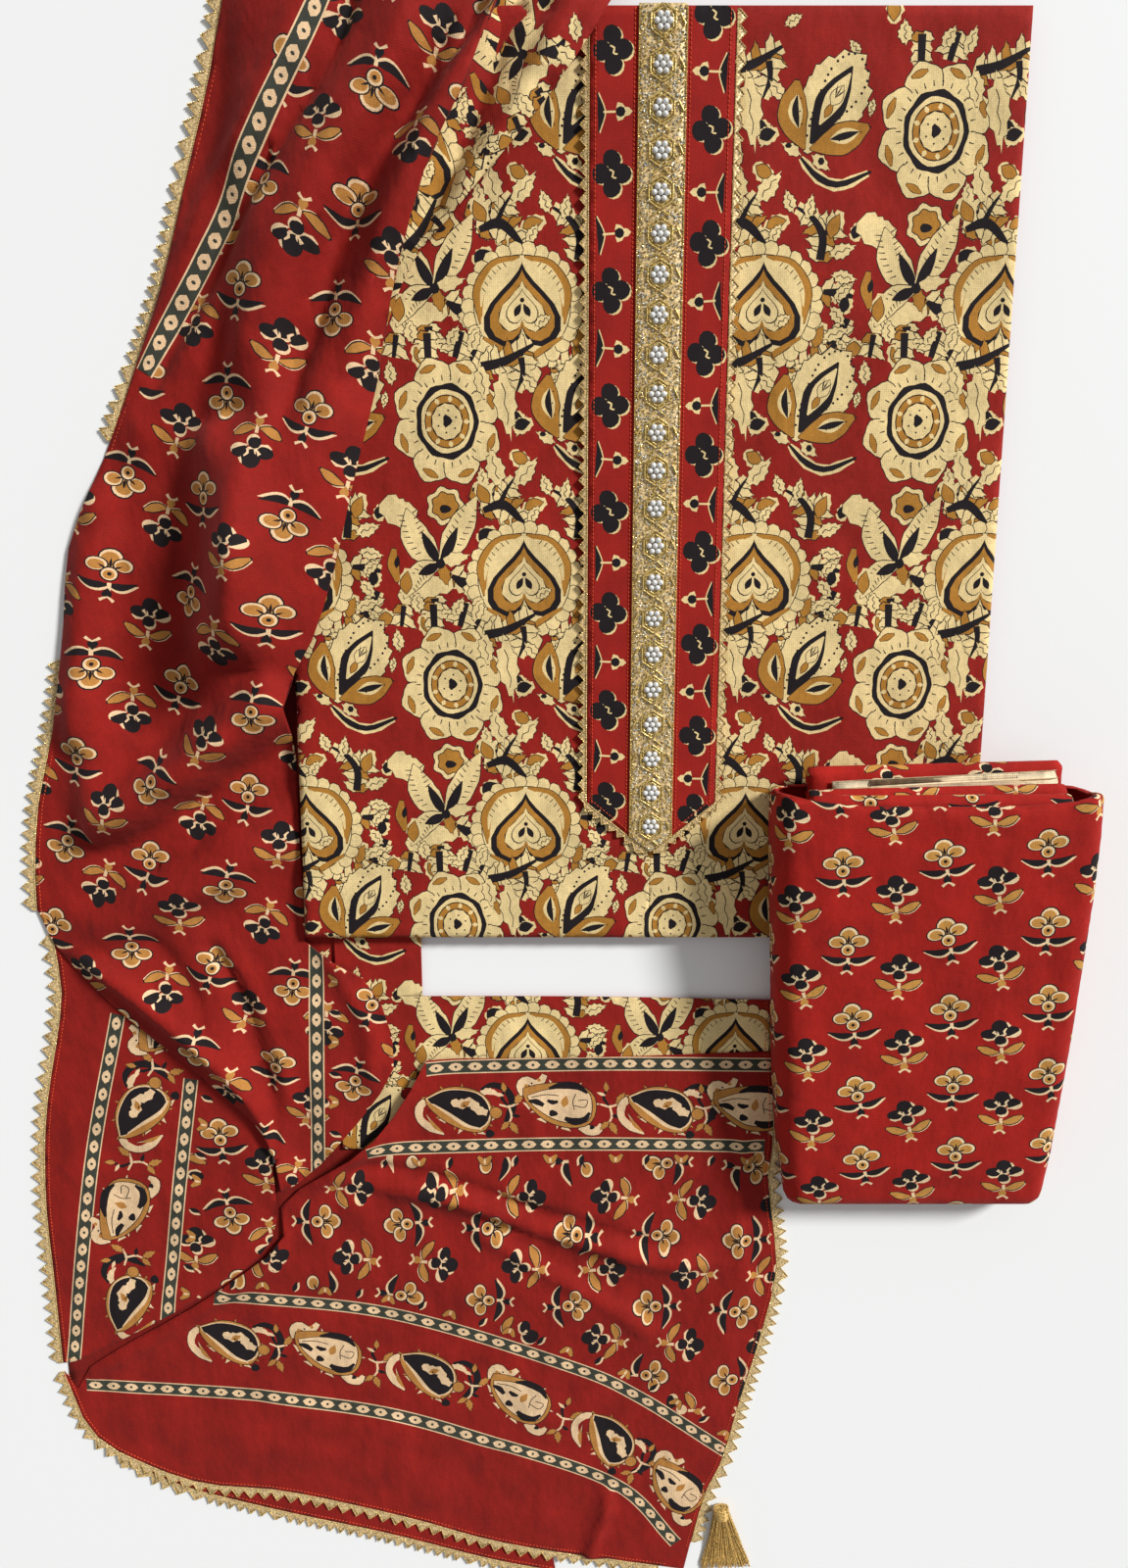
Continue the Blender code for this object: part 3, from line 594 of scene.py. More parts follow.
def petalMotif():  # pointed leaves round one dark eye
    s = outlined("cream", jagged([(-37, 42), (-28, 34), (-16, 30)], (9, 14, 9), 3, 3, 8), 0.5)
    s += outlined("cream", jagged([(-28, -24), (-12, -16), (8, -13)], (6, 10, 6), 3, 3, 9), 0.5)
    s += (outlined("ochre", strip([(-31, 10), (-32, 0), (-29, -12)], (3, 8, 3), 8), 0.6)
          + [("black", leaf((-30, -3), 80, 9, 4))])
    s += (outlined("cream", ring(11.8, 0.1, 7, 35, (4, 38))) + outlined("ochre", ring(8.4, 0.1, 7, 28, (4, 38)))
          + [("black", ring(4, 0.1, 3, 9, (4, 36), 0.7))])
    for spine, wide, core in (([(0, 0), (-15, 15), (-22, 36)], 20, [(-1, 1), (-7, 11), (-12, 21)]),
                              ([(0, 0), (11, 18), (25, 44)], 18, [(1, 1), (6, 11), (12, 24)]),
                              ([(0, 0), (-15, -7), (-25, -23)], 14, [(-2, -1), (-8, -4), (-15, -7)])):
        s += outlined("cream", strip(spine, (3, wide, wide * 0.9, 1), 12))
        s.append(("black", strip(core, (3.6, 7.4, 6, 0.8), 8)))
        line = smoothLine(spine, 13)
        for p, q in zip(line[4:12], line[5:13]):
            d = (q - p) / np.linalg.norm(q - p)
            for f in (1, -1):
                side = np.array((-d[1], d[0])) * f
                s.append(("black", strip([p + side * wide * 0.16, p + side * wide * 0.36 + d * 1.4], (0.8, 0.4), 2)))
    s += outlined("ochre", toothed((1, -1), -75, 13, 7, 3), 0.5) + outlined("cream", toothed((2, 1), 15, 17, 8, 3), 0.5)
    s += [("black", ring(3.4, 0, 0, 8))]
    return s


# Branches and leaves between the big motifs: points and widths in mm from the rosette's middle
branchTable = [([(-132, 34), (-116, 38), (-98, 48)], (5, 4.2, 1.6)),
               ([(-106, 40), (-105, 30), (-109, 19)], (3.4, 2.4, 1)),
               ([(-132, -57), (-121, -53), (-114, -56), (-103, -68)], (3, 5, 4, 2)),
               ([(-121, -53), (-116, -43), (-111, -36)], (3, 2, 1)),
               ([(-69, -75), (-68, -61), (-75, -50), (-85, -44)], (4.2, 4, 3, 1.4)),
               ([(-68, -60), (-60, -55)], (3, 1)), ([(-66, -94), (-55, -95), (-47, -97)], (2.4, 4.4, 2)),
               ([(-86, -141), (-70, -136), (-57, -126), (-50, -110)], (1, 2, 3, 4.2)),
               ([(-12, 55), (-11.5, 35)], (4, 3.4)), ([(10, 56), (6, 40)], (4, 3)),
               ([(1, -100), (10, -105), (18, -102)], (2, 6, 1.4)), ([(16, -43), (29, -48), (47, -45)], (2, 4.4, 3)),
               ([(20, -123), (16, -134), (11, -143)], (5.5, 3.6, 1.4)), ([(-11, -115), (-10, -125)], (4.4, 2)),
               ([(-32, -120), (-34, -134)], (3, 2)), ([(-62, -126), (-52, -118)], (2, 3))]
leafTable = [  # place, angle, length, width, ink
    (-119, 30, -82, 38, 13, "cream"), (-133, 34, -80, 20, 9, "cream"), (-104, 28, -50, 14, 7, "cream"),
             (-110, -4, 20, 10, 7, "black"),
    (-121, -40, 105, 22, 11, "cream"), (-110, -40, 50, 20, 10, "cream"), (-128, -52, 120, 14, 8, "ochre"),
             (-104, -56, 20, 13, 8, "ochre"),
    (-101, -64, 60, 11, 6, "cream"), (-88, -46, 110, 12, 7, "cream"), (-78, -50, 80, 13, 6, "cream"),
             (-63, -62, 70, 15, 8, "ochre"),
    (-62, -72, 20, 15, 8, "cream"), (-60, -84, -10, 14, 7, "cream"), (-58, -98, 40, 12, 6, "cream"),
             (-60, -104, -50, 12, 7, "cream"),
    (-70, -128, 70, 14, 8, "ochre"), (-64, -122, 20, 15, 7, "cream"), (-82, -140, -10, 16, 6, "cream"),
             (-52, -106, 80, 9, 6, "black"),
    (16, 44, 70, 15, 7, "cream"), (-22, 50, 95, 12, 8, "cream"), (2, 48, 60, 12, 7, "cream"),
             (-30, 62, 85, 15, 8, "ochre"),
    (24, -42, 100, 12, 7, "cream"), (34, -52, -70, 16, 8, "ochre"), (22, -52, -60, 12, 7, "cream"),
             (40, -50, -50, 13, 6, "cream"),
    (12, -104, -70, 15, 9, "cream"), (24, -106, 60, 14, 7, "cream"), (20, -76, 35, 11, 7, "black"),
             (14, -130, -120, 12, 7, "cream"),
    (24, -132, -40, 12, 7, "cream"), (26, -120, 70, 10, 6, "ochre"), (-20, -128, -60, 14, 8, "ochre"),
             (-6, -124, -30, 13, 7, "cream"),
    (-40, -128, 180, 10, 9, "ochre"), (-36, -150, 95, 13, 7, "cream"), (-96, 60, 30, 10, 6, "cream"),
             (-50, 44, 130, 9, 5, "cream"),
    (44, 20, 100, 14, 8, "cream"), (46, -8, 60, 12, 7, "cream"), (43, -20, -40, 13, 8, "ochre"),
             (40, 4, -10, 9, 5, "black"),
    (-48, -62, 60, 9, 6, "black"), (-40, 18, -100, 9, 4, "cream"), (-90, -150, 30, 12, 6, "cream"),
             (-60, -150, -20, 14, 7, "cream")]


def kameezTile():
    # One repeat, with the rosette's middle at the origin
    ground, stems, tips, twigs = [], [], [], []
    for points, widths in branchTable:
        ground.append(("cream", jagged(points, widths, 6.2, 3.6, 4 * len(points))))
        stems.append(("black", strip(points, np.array(widths) * 1.3, 3 * len(points) + 1)))
        line = smoothLine(points, max(int(lineLength(points) / 8), 2) + 1)
        for k, (p, q) in enumerate(zip(line[:-1], line[1:])):
            way = math.degrees(math.atan2(q[1] - p[1], q[0] - p[0]))
            for f in (1, -1):
                ink = "ochre" if (k + (f > 0)) % 3 == 0 else "cream"
                twigs += outlined(ink, toothed((p[0], p[1]), way + f * (58 + 14 * math.sin(5.0 * k + p[0])),
                        9.5 + 2 * math.sin(3.1 * k + p[1]), 5, 2), 0.75)
    for x, y, angle, length, width, ink in leafTable:
        a = math.radians(angle)
        reach = [(x - 1.5 * math.cos(a), y - 1.5 * math.sin(a)),
                 (x + (length + 2) * math.cos(a), y + (length + 2) * math.sin(a))]
        if ink == "cream":
            tips += outlined("cream", toothed((x, y), angle, length, width, 4), 0.6)
            tips.append(("black", strip([(x + length * t * math.cos(a) + 0.9 * (-1) ** k * math.sin(a),
                    y + length * t * math.sin(a) - 0.9 * (-1) ** k * math.cos(a)) for k,
                    t in enumerate((0.15, 0.32, 0.5, 0.68, 0.85))], (0.7, 0.5), 9)))
        else:
            ground.append(("cream", jagged(reach, (2, width, 2), 2.6, 2.2, 8)))
            tips += outlined(ink, leaf((x, y), angle, length, width, 0.8, 8), 0.6)
    s = ground + twigs + stems + tips
    s += placed(featherMotif(), (-81, -12)) + placed(medallionMotif(), (-105, -103)) + placed(petalMotif(), (-6.5, -92))
    return s + rosetteMotif()


def sprigMotif(light):
    # A three-lobed flower over a pair of leaves and a short stem, as if from one hand block; 40 mm wide
    s = []
    for f in (1, -1):
        if light:
            blade = strip([(f * 0.5, -9.6), (f * 8, -10.2), (f * 14, -8.4), (f * 20, -5.6)], (2, 5.4, 5, 3, 0.4), 10)
            s += [("cream", blade + (0.8, -1.7)), ("black", blade)]
        else:
            blade = strip([(f * 1.5, -11.5), (f * 8, -10.4), (f * 17, -5.6)], (1, 5.6, 6, 1.6), 9)
            s += [("cream", blade + (0.9, -1.3))] + outlined("tan", blade, 1)
    s += [("cream", strip([(0.6, -8), (0.8, -16)], (2.6, 2.2), 3)),
          ("black" if light else "tan", leaf((0, -20), 90, 8, 6.5)),
          ("cream", strip([(-4, -21), (0.5, -18.5), (4.6, -21.5)], (2.2, 1.2, 2.2), 5))]
    lobes = [((0, 9.6), 6.6, 1, 0), ((-8.2, 4.8), 6.2, 0.72, 2.75), ((8.4, 5.6), 6.2, 0.72, 0.45),
             ((0, -1.6), 4.6, 0.95, 0)]
    for at, r, squash, turn in lobes:
        if light:
            s += [("black", ring(r + 1.2, 0, 0, 14, at, squash * 1.02, turn)),
                  ("cream", ring(r + 0.2, 0, 0, 14, at, squash, turn)),
                  ("tan", ring(r - 1.2, 0, 0, 12, (at[0] * 0.97 - 0.3, at[1] - 0.5), squash, turn))]
        else:
            s += [("cream", ring(r, 0, 0, 14, (at[0] + 1.4, at[1] - 1.2), squash, turn)),
                  ("black", ring(r, 0.04, 3, 14, at, squash, turn))]
    if light:
        s += [("black", leaf((0, 3), 90, 7, 2)), ("black", leaf((-2, 2), 150, 6, 1.5)),
              ("black", leaf((2, 2.4), 25, 6, 1.5)), ("black", ring(1.5, 0, 0, 6, (0, -1.6)))]
    else:
        gaps = [([(5.6, 13.2), (7.6, 9.8)], (1.2, 2.2)), ([(5.2, 8.6), (3, 5.8), (4.4, 3.2)], (1, 1.9, 1)),
                ([(-5, 6.6), (-2.4, 3.6)], (2.6, 0.8)), ([(-12.6, 1.8), (-9, -0.2), (-5, 0.4)], (0.8, 2, 0.8)),
                ([(4.4, 0.8), (9.6, 1.6), (14.4, 4.8)], (0.8, 2, 0.8)),
                ([(-2.6, -4.8), (0.2, -5.8), (3, -4.6)], (0.6, 1.3, 0.6))]
        s += [("cream", strip(spine, widths, 5)) for spine, widths in gaps]
    return s


def bumps(shape, every, size, ink="cream"):  # little points round a drop
    out, middle = [], shape.mean(axis=0)
    for q in shape[::every]:
        way = (q - middle) / np.linalg.norm(q - middle)
        half = np.array((-way[1], way[0])) * size * 0.42
        out += outlined(ink, np.array([q - way * 1.2 + half, q + way * size, q - way * 1.2 - half]), 0.5)
    return out


def closedLine(points):  # a smooth closed outline of 28 points
    return smoothLine(list(points) + [points[0]], 29)[:-1]


def paisleyMotif(dark):
    # Drops in two kinds that take turns along a border; 57 by 40 mm
    s = []
    if dark:
        drop = closedLine([(-23.4, 6.1), (-9.2, 15.3), (5.1, 17.3), (17.3, 14.3), (26.5, 5.1), (27.5, -7.1),
                           (23.4, -16.3), (13.2, -18.3), (1, -15.3), (-11.2, -9.2), (-21.4, 0)])
        field = closedLine([(-22, 5.5), (-9.2, 13), (5.1, 14.9), (17.3, 12.4), (24.6, 3.7), (25.7, -6.5), (21, -13.6),
                            (14, -14.7), (2.6, -9.6), (-9.2, -3.1), (-18.9, 1.8)])
        s += bumps(drop, 3, 3.4, "tan") + bumps(drop[14:26], 3, 5)
        s += outlined("cream", strip([(-23.4, 3.9), (-26.7, -1.4), (-25, -10.2), (-17.7, -17.3), (-6.7, -23)],
                                     (5, 7.5, 9, 7.5, 1), 12), 0.7)
        s += [("red", strip([(-23.4, -1.4), (-22.6, -9.2), (-16.5, -15.3)], (1, 3, 1), 7)),
              ("tan", strip([(-19.3, -11.6), (-14, -17.3), (-8.3, -21)], (1, 3.6, 1), 6))]
        s += [("black", strip([(17.3, 16.9), (25.4, 21.8), (36, 19.3), (42.1, 10.2), (41.7, 1), (37.3, -9.6)],
                              (2, 5, 5.5, 6, 6.5, 1), 16)),
              ("cream", strip([(18.9, 14.9), (26.5, 16.1), (32, 13.2)], (3, 5, 1), 8)),
              ("cream", jagged([(17.3, 13.2), (21.8, 16.3), (25.4, 17.7)], (1, 2, 1), 2, 1.6, 6))]
        s += outlined("tan", drop, 0.7) + [("cream", closedLine(field * 1.05)), ("black", field)]
        s += [("cream", strip([(-17.7, 1.4), (-5.1, -5.5), (9.6, -13.6), (21.4, -15.3)], (0.8, 2.6, 3, 1.4), 14)),
              ("cream", jagged([(-3.9, 4.7), (3.5, 3.5), (10.8, 5.9), (17.3, 0.2), (24.2, -1.4)], (2, 5, 4, 4, 3), 1.6,
                               2.4, 12)), ("tan", leaf((3.5, 1), 40, 9, 5)), ("black", ring(0.9, 0, 0, 5, (6.3, 2.4)))]
        s += outlined("tan", ring(4.6, 0, 0, 14, (30.7, -0.6)), 0.6) + [("black", ring(3.6, 0.1, 3, 9, (27.9, -18.3)))]
    else:
        drop = closedLine([(-29.5, 9.2), (-21.4, 13.2), (-10.2, 16.7), (0, 18.7), (14.3, 17.9), (24.4, 11.2),
                           (27.5, -2), (23.4, -12.2), (10.2, -16.9), (-6.1, -14.9), (-18.3, -8.1), (-27.5, 1)])
        field = closedLine([(-25.7, 3.7), (-16.3, 9), (-7.7, 12.6), (0, 15.5), (17.3, 15.1), (23.2, 6.1), (24, -6.1),
                            (18.7, -11.8), (6.1, -13), (-6.1, -10.6), (-20, -3.3)])
        s += bumps(drop, 4, 3.4) + bumps(drop[16:26], 3, 6.4)
        s += outlined("cream", strip([(-28.1, 4.1), (-31.4, 11.8), (-28.1, 15.9), (-20.8, 14.7), (-17.1, 17.9),
                (-15.5, 22.8)], (6, 8, 7, 5.5, 6, 4), 14), 0.7)
        s += [("tan", ring(1.9, 0.1, 3, 8, (-27.7, 11.2))), ("tan", ring(1.5, 0.1, 3, 8, (-19.1, 17.9))),
              ("black", ring(0.9, 0, 0, 5, (-24, 14.3)))]
        s += outlined("cream", strip([(17.9, -14.3), (25.4, -16.7), (31.8, -15.5), (33.4, -9.8)], (6, 8, 7, 3), 10),
                      0.7) + [("black", ring(2, 0.2, 3, 8, (26.9, -13.8)))]
        s += outlined("tan", drop, 0.7) + outlined("cream", field, 0.7)
        s += [("black", strip([(-10.6, 12.2), (-2, 16.3), (10.2, 17.5), (18.7, 13.4)], (2, 6, 6, 2), 12)),
              ("black", strip([(-24, -0.4), (-18.3, 0), (-12.2, -2)], (2, 5, 3), 8)),
              ("black", strip([(-10.2, 2.4), (-5.7, 1.6), (-2, 2.9)], (2, 4, 2), 7)),
              ("black", ring(3.4, 0.15, 3, 10, (-4.1, -7.3), 0.8)),
              ("black", strip([(5.3, -9.8), (12.6, -11.4), (20, -8.6), (23.2, -2)], (3, 6.5, 5, 2), 12)),
              ("tan", leaf((2.9, -1.2), 88, 10, 6)),
              ("black", strip([(10.2, 1.6), (18.7, 1.6), (19.5, 7.7), (12.6, 6.1)], (0.7, 0.7, 0.7, 0.7), 12)),
              ("black", strip([(10.2, 11.4), (9, 4.9), (11.4, -2)], (0.7, 0.7, 0.7), 8)),
              ("black", strip([(-22.4, 2.9), (-12.2, 6.9), (-2, 7.7)], (0.7, 0.7, 0.7), 8))]
    return s


def stemMotif():  # the leafy stem between two paisleys
    s = [("cream", strip([(-8, 2), (0, 0), (8, 3)], (1.6, 2.2, 1.6), 6)),
         ("cream", strip([(0, 0), (2, -9), (-1, -16)], (1.8, 2, 1.4), 6)),
         ("black", strip([(-1, 1), (-6, 9), (-2, 16)], (2, 3, 1), 6))]
    for x, y, angle, length in ((1, -15, -60, 11), (-1, -14, -130, 9), (6, 3, 60, 11), (-3, 14, 100, 8)):
        s += outlined("tan", toothed((x, y), angle, length, length * 0.5, 3), 0.5)
    return s + [("cream", leaf((-4, 10), 160, 8, 3)), ("black", leaf((2, -8), -10, 8, 3.6))]


def tiled(tile, pitch, start, counts):
    out = []
    for j in range(counts[1]):
        for i in range(counts[0]):
            at = (start[0] + i * pitch[0], start[1] - j * pitch[1])
            out += [(ink, (p + at) / 1000) for ink, p in tile]
    return out


# Kameez panel
kameezLook = {"tilePitch": (155, 174), "firstRosette": (-130, 230.5), "edgeRoll": 0.0045, "rollDrop": 0.0022,
              "layers": 5, "step": 0.006, "halfTop": 0.236, "halfHem": 0.2405, "endY": 0.302, "underPlacket": 0.04,
              "underPlacketFoot": -0.192, "clothUnder": 0.0012, "stackUnder": 0.0042, "stackInset": 0.001,
              "tuckHeight": 0.0009, "tuckThick": 0.0004}


def roundedEdge(height, outline, roll, low):  # lets a sheet's edge roll down over a fold
    line = np.vstack([outline, outline[:1]])

    def shaped(x, y):
        gap = np.full(len(x), 1e9)
        for a, b in zip(line, line[1:]):
            d = b - a
            t = np.clip(((x - a[0]) * d[0] + (y - a[1]) * d[1]) / max(d @ d, 1e-12), 0, 1)
            gap = np.minimum(gap, np.hypot(x - a[0] - d[0] * t, y - a[1] - d[1] * t))
        s = np.clip(gap / roll, 0, 1)
        return height(x, y) - low * (1 - np.sqrt(np.clip(1 - (1 - s) ** 2, 0, 1)))
    return shaped


def denseLoop(corners, step):
    out = []
    loop = list(corners) + [corners[0]]
    for a, b in zip(loop, loop[1:]):
        a, b = np.array(a, float), np.array(b, float)
        n = max(int(np.linalg.norm(b - a) / step), 1)
        out += [a + (b - a) * k / n for k in range(n)]
    return np.array(out)


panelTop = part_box("kameez_body")[1].z
halfTop, halfHem, endY = (kameezLook[key] for key in ("halfTop", "halfHem", "endY"))
placket = {"middle": 0.008, "half": 0.045, "strip": 0.015, "shoulder": -0.2, "tip": -0.237, "top": 0.3,
           "thick": 0.0008, "ground": (150, 26, 18), "flowersAt": 31, "flowerSize": 0.98, "budsAt": 30,
           "budSize": 0.92, "stitchInset": 0.0035, "stripStitch": 0.0022, "stitchLift": 0.0003, "stitchPitch": 0.0027}
placketMiddle = placket["middle"]
panelOutline = denseLoop([(-halfHem, -endY), (halfHem, -endY), (halfTop, endY), (-halfTop, endY)], 0.004)
panelShapes = tiled(kameezTile(), kameezLook["tilePitch"], kameezLook["firstRosette"], (4, 4))
panelFolds = [([(-150, -100), (0, -120), (200, -90)], 0.9, 12),
              ([(50, 280), (90, 120), (120, -20), (200, -150)], 1, 14),
              ([(-200, -180), (-50, -220), (50, -280)], 0.9, 13)]


def panelHeight(x, y):
    return np.full(len(x), panelTop - kameezLook["clothUnder"]) + foldShape(x, y, panelFolds)


# Shapes wholly under the placket are left out
reach, foot = kameezLook["underPlacket"], kameezLook["underPlacketFoot"]
underPlacket = np.array([(placketMiddle - reach, foot), (placketMiddle + reach, foot), (placketMiddle + reach, 0.31),
                         (placketMiddle - reach, 0.31)])
seen = [(ink, q) for ink, q in panelShapes if not insidePolygon(q[:, 0], q[:, 1], underPlacket).all()]
panelSheets = []
for name, corners in (("kameezPanelLeft", [(-halfHem, -endY), (placketMiddle, -endY), (placketMiddle, endY),
        (-halfTop, endY)]), ("kameezPanelRight", [(placketMiddle, -endY), (halfHem, -endY), (halfTop, endY),
        (placketMiddle, endY)])):
    near = [(ink, q) for ink, q in seen if (q[:, 0].min() < placketMiddle if name.endswith("Left")
            else q[:, 0].max() > placketMiddle)]
    height = roundedEdge(panelHeight, panelOutline, kameezLook["edgeRoll"], kameezLook["rollDrop"])
    panelSheets.append(printedCloth(name, denseLoop(corners, 0.006), near, height, kameezInks, kameezCloth,
                                    step=kameezLook["step"]))


def foldedStack(name, corners, z0, z1, layers, material, step=0.02, depth=0.0014, wobble=0.0012, seed=3):
    # A stack of folds: each layer's edge bulges, and the layers don't quite line up
    rng = random.Random(seed)
    loop = denseLoop(corners, step)
    middle = loop.mean(axis=0)
    rows = []
    tall = (z1 - z0) / layers
    for k in range(layers):
        drift = [rng.uniform(-wobble, 0) for _ in range(6)]
        for share, inset in ((0.02, 1.0), (0.18, 0.35), (0.5, 0.0), (0.82, 0.35), (0.98, 1.0)):
            edgeRow = []
            for n, p in enumerate(loop):
                way = p - middle
                way /= np.linalg.norm(way)
                a = 2 * math.pi * n / len(loop)
                move = -depth * inset + drift[0] + drift[1] * (1 + math.sin(a + k)) / 2 + drift[2] * (1
                        + math.sin(2 * a + 2 * k)) / 2
                q = p + way * move
                edgeRow.append((q[0], q[1], z0 + tall * (k + share)))
            rows.append(edgeRow)
    n = len(loop)
    verts = [v for row in rows for v in row]
    faces = [(r * n + i, r * n + (i + 1) % n, (r + 1) * n + (i + 1) % n, (r + 1) * n + i) for r in range(len(rows) - 1)
             for i in range(n)]
    faces += [tuple(range(n))[::-1], tuple((len(rows) - 1) * n + i for i in range(n))]
    return makeObject(name, verts, faces, material)


wideHem, wideTop, long = (v - kameezLook["stackInset"] for v in (halfHem, halfTop, endY))
panelStack = foldedStack("kameezPanelFolds", [(-wideHem, -long), (wideHem, -long), (wideTop, long), (-wideTop, long)],
                         0.0, panelTop - kameezLook["stackUnder"], kameezLook["layers"], edgeCloth)
print("kameez panel made")

# Cloths that lie on the frame's own shapes


def clothFromNode(name, nodeName, shapes, inks, material, folds=(), above=None):
    outline, base = planOutline(nodeName), heightOf(nodeName)

    def height(x, y):
        z = np.maximum(base(x, y) + clothLook["lift"] + (foldShape(x, y, folds) if folds else 0),
                       clothLook["leastHeight"])
        return z if above is None else np.maximum(z, above(x, y))
    return printedCloth(name, outline, shapes, height, inks, material, clothLook["step"], clothLook["thick"])


# Each stretch's sprigs: pitch across and down in mm, turn, size and start; heights and places in metres, inks 0-255;
# the tucks' darker red ground is painted shade
dupattaLook = {"fall": (60, 66, -14, 0.94, (8, 10)), "corner": (62, 64, 4, 1.0, (24, 8)),
               "spread": (63, 66, 87, 1.0, (6, 4)), "budsAt": 9, "budPitch": 24, "lineWidth": 8.2, "dotPitch": 14.3,
               "paisleyTurn": -8, "abovePanel": 0.0018, "aboveGather": 0.0022, "tuckHeight": 0.0005,
               "tuckThick": 0.0004, "tuckStep": 0.01, "tuckInk": (120, 20, 12)}
sprigTan, sprigBlack = sprigMotif(True), sprigMotif(False)
paisleys = (paisleyMotif(True), paisleyMotif(False))


def inMetres(shapes):
    return [(ink, p / 1000) for ink, p in shapes]


def sprigRows(box, across, down, turn=0.0, size=1.0, start=(0, 0), nod=True):
    # Two lattices of sprigs, tan and dark, the dark one half a step on; sizes in mm, the box in metres
    out, a = [], math.radians(turn)
    x0, y0, x1, y1 = [v * 1000 for v in box]
    reach = max(x1 - x0, y1 - y0)
    middle = np.array(((x0 + x1) / 2 + start[0], (y0 + y1) / 2 + start[1]))
    n, m = int(reach / across / 2) + 2, int(reach / down / 2) + 2
    for i in range(-n, n + 1):
        for j in range(-m, m + 1):
            for motif, shift in ((sprigTan, 0.0), (sprigBlack, 0.5)):
                u, v = (i + shift) * across, (j - shift * 0.8) * down
                at = middle + (u * math.cos(a) - v * math.sin(a), u * math.sin(a) + v * math.cos(a))
                if x0 - 30 < at[0] < x1 + 30 and y0 - 30 < at[1] < y1 + 30:
                    over = 180 if nod and (i + j) % 2 else 0
                    out += placed(motif, at, turn + over + 7 * math.sin(3 * i + 5 * j), size)
    return inMetres(out)


def dottedLine(points):
    # The border's line: a dark band with cream lozenges, each with a dark dot, between thin cream edges
    width = dupattaLook["lineWidth"]
    n = max(int(lineLength(points) * 1000 / dupattaLook["dotPitch"]), 2)
    line = smoothLine(points, n * 4 + 1) * 1000
    out = [("cream", strip(line, (width + 3.0,), len(line))), ("line", strip(line, (width + 1.2,), len(line)))]
    for k in range(n):
        a, p, b = line[4 * k], line[4 * k + 2], line[4 * k + 4]
        turn = math.degrees(math.atan2(b[1] - a[1], b[0] - a[0]))
        out += placed([("cream", np.array([(-5.7, 0), (-3.2, 2.6), (0, 3.3), (3.2, 2.6), (5.7, 0), (3.2, -2.6),
                (0, -3.3), (-3.2, -2.6)])), ("line", ring(1.2, 0, 0, 6))], p, turn)
    return inMetres(out)


def budRow(points, offset):  # half flowers and leaves along one side of a border line
    n = max(int(lineLength(points) * 1000 / dupattaLook["budPitch"]), 1)
    line = smoothLine(points, n * 2 + 1) * 1000
    out = []
    for k in range(n):
        a, p, b = line[2 * k], line[2 * k + 1], line[2 * k + 2]
        d = (b - a) / np.linalg.norm(b - a)
        at = p + np.array((-d[1], d[0])) * offset
        turn = math.degrees(math.atan2(d[1], d[0])) + (0 if offset > 0 else 180)
        if k % 2:
            out += placed(outlined("tan", strip([(-5, 0), (0, 5), (5, 0)], (2, 6, 2), 8), 0.6)
                          + [("cream", leaf((0, 2), 90, 5, 2))], at, turn)
        else:
            out += placed([("cream", leaf((1, 0), 70, 10, 4.4)), ("black", leaf((0, 0), 76, 10, 4))], at, turn)
    return inMetres(out)


def paisleyRow(places):
    # Paisleys at the places given, alternately dark and cream, with leafy stems between
    out = []
    for k, (a, b) in enumerate(zip(places, places[1:] + [None])):
        nextPlace = b or tuple(2 * np.array(a) - np.array(places[k - 1]))
        d = np.array(nextPlace) - np.array(a)
        turn = math.degrees(math.atan2(d[1], d[0]))
        out += placed(paisleys[k % 2], np.array(a) * 1000, turn + dupattaLook["paisleyTurn"])
        if b:
            out += placed(stemMotif(), (np.array(a) * 0.49 + np.array(b) * 0.51) * 1000, turn, 0.9)
    return inMetres(out)


def inside(shapes, polygon):  # keeps the shapes whose middle is inside the polygon
    keep = np.array(polygon)
    return [(ink, q) for ink, q in shapes if insidePolygon(q.mean(axis=0)[None, 0], q.mean(axis=0)[None, 1], keep)[0]]


leftOuter = [(-0.386, -0.366), (-0.416, -0.489), (-0.447, -0.671)]
leftInner = [(-0.335, -0.418), (-0.352, -0.52), (-0.368, -0.633)]
rightLine = [(-0.234, -0.3), (-0.238, -0.4), (-0.242, -0.496)]
bandTop = [(-0.156, -0.407), (-0.02, -0.404), (0.105, -0.405)]
bandFoot = [(-0.202, -0.474), (-0.05, -0.47), (0.1, -0.472)]
hemUpper = [(-0.328, -0.602), (-0.19, -0.619), (-0.049, -0.667), (0.008, -0.696), (0.08, -0.748)]
hemLower = [(-0.437, -0.684), (-0.357, -0.689), (-0.281, -0.696), (-0.193, -0.711), (-0.111, -0.738), (-0.01, -0.779),
            (0.04, -0.836)]
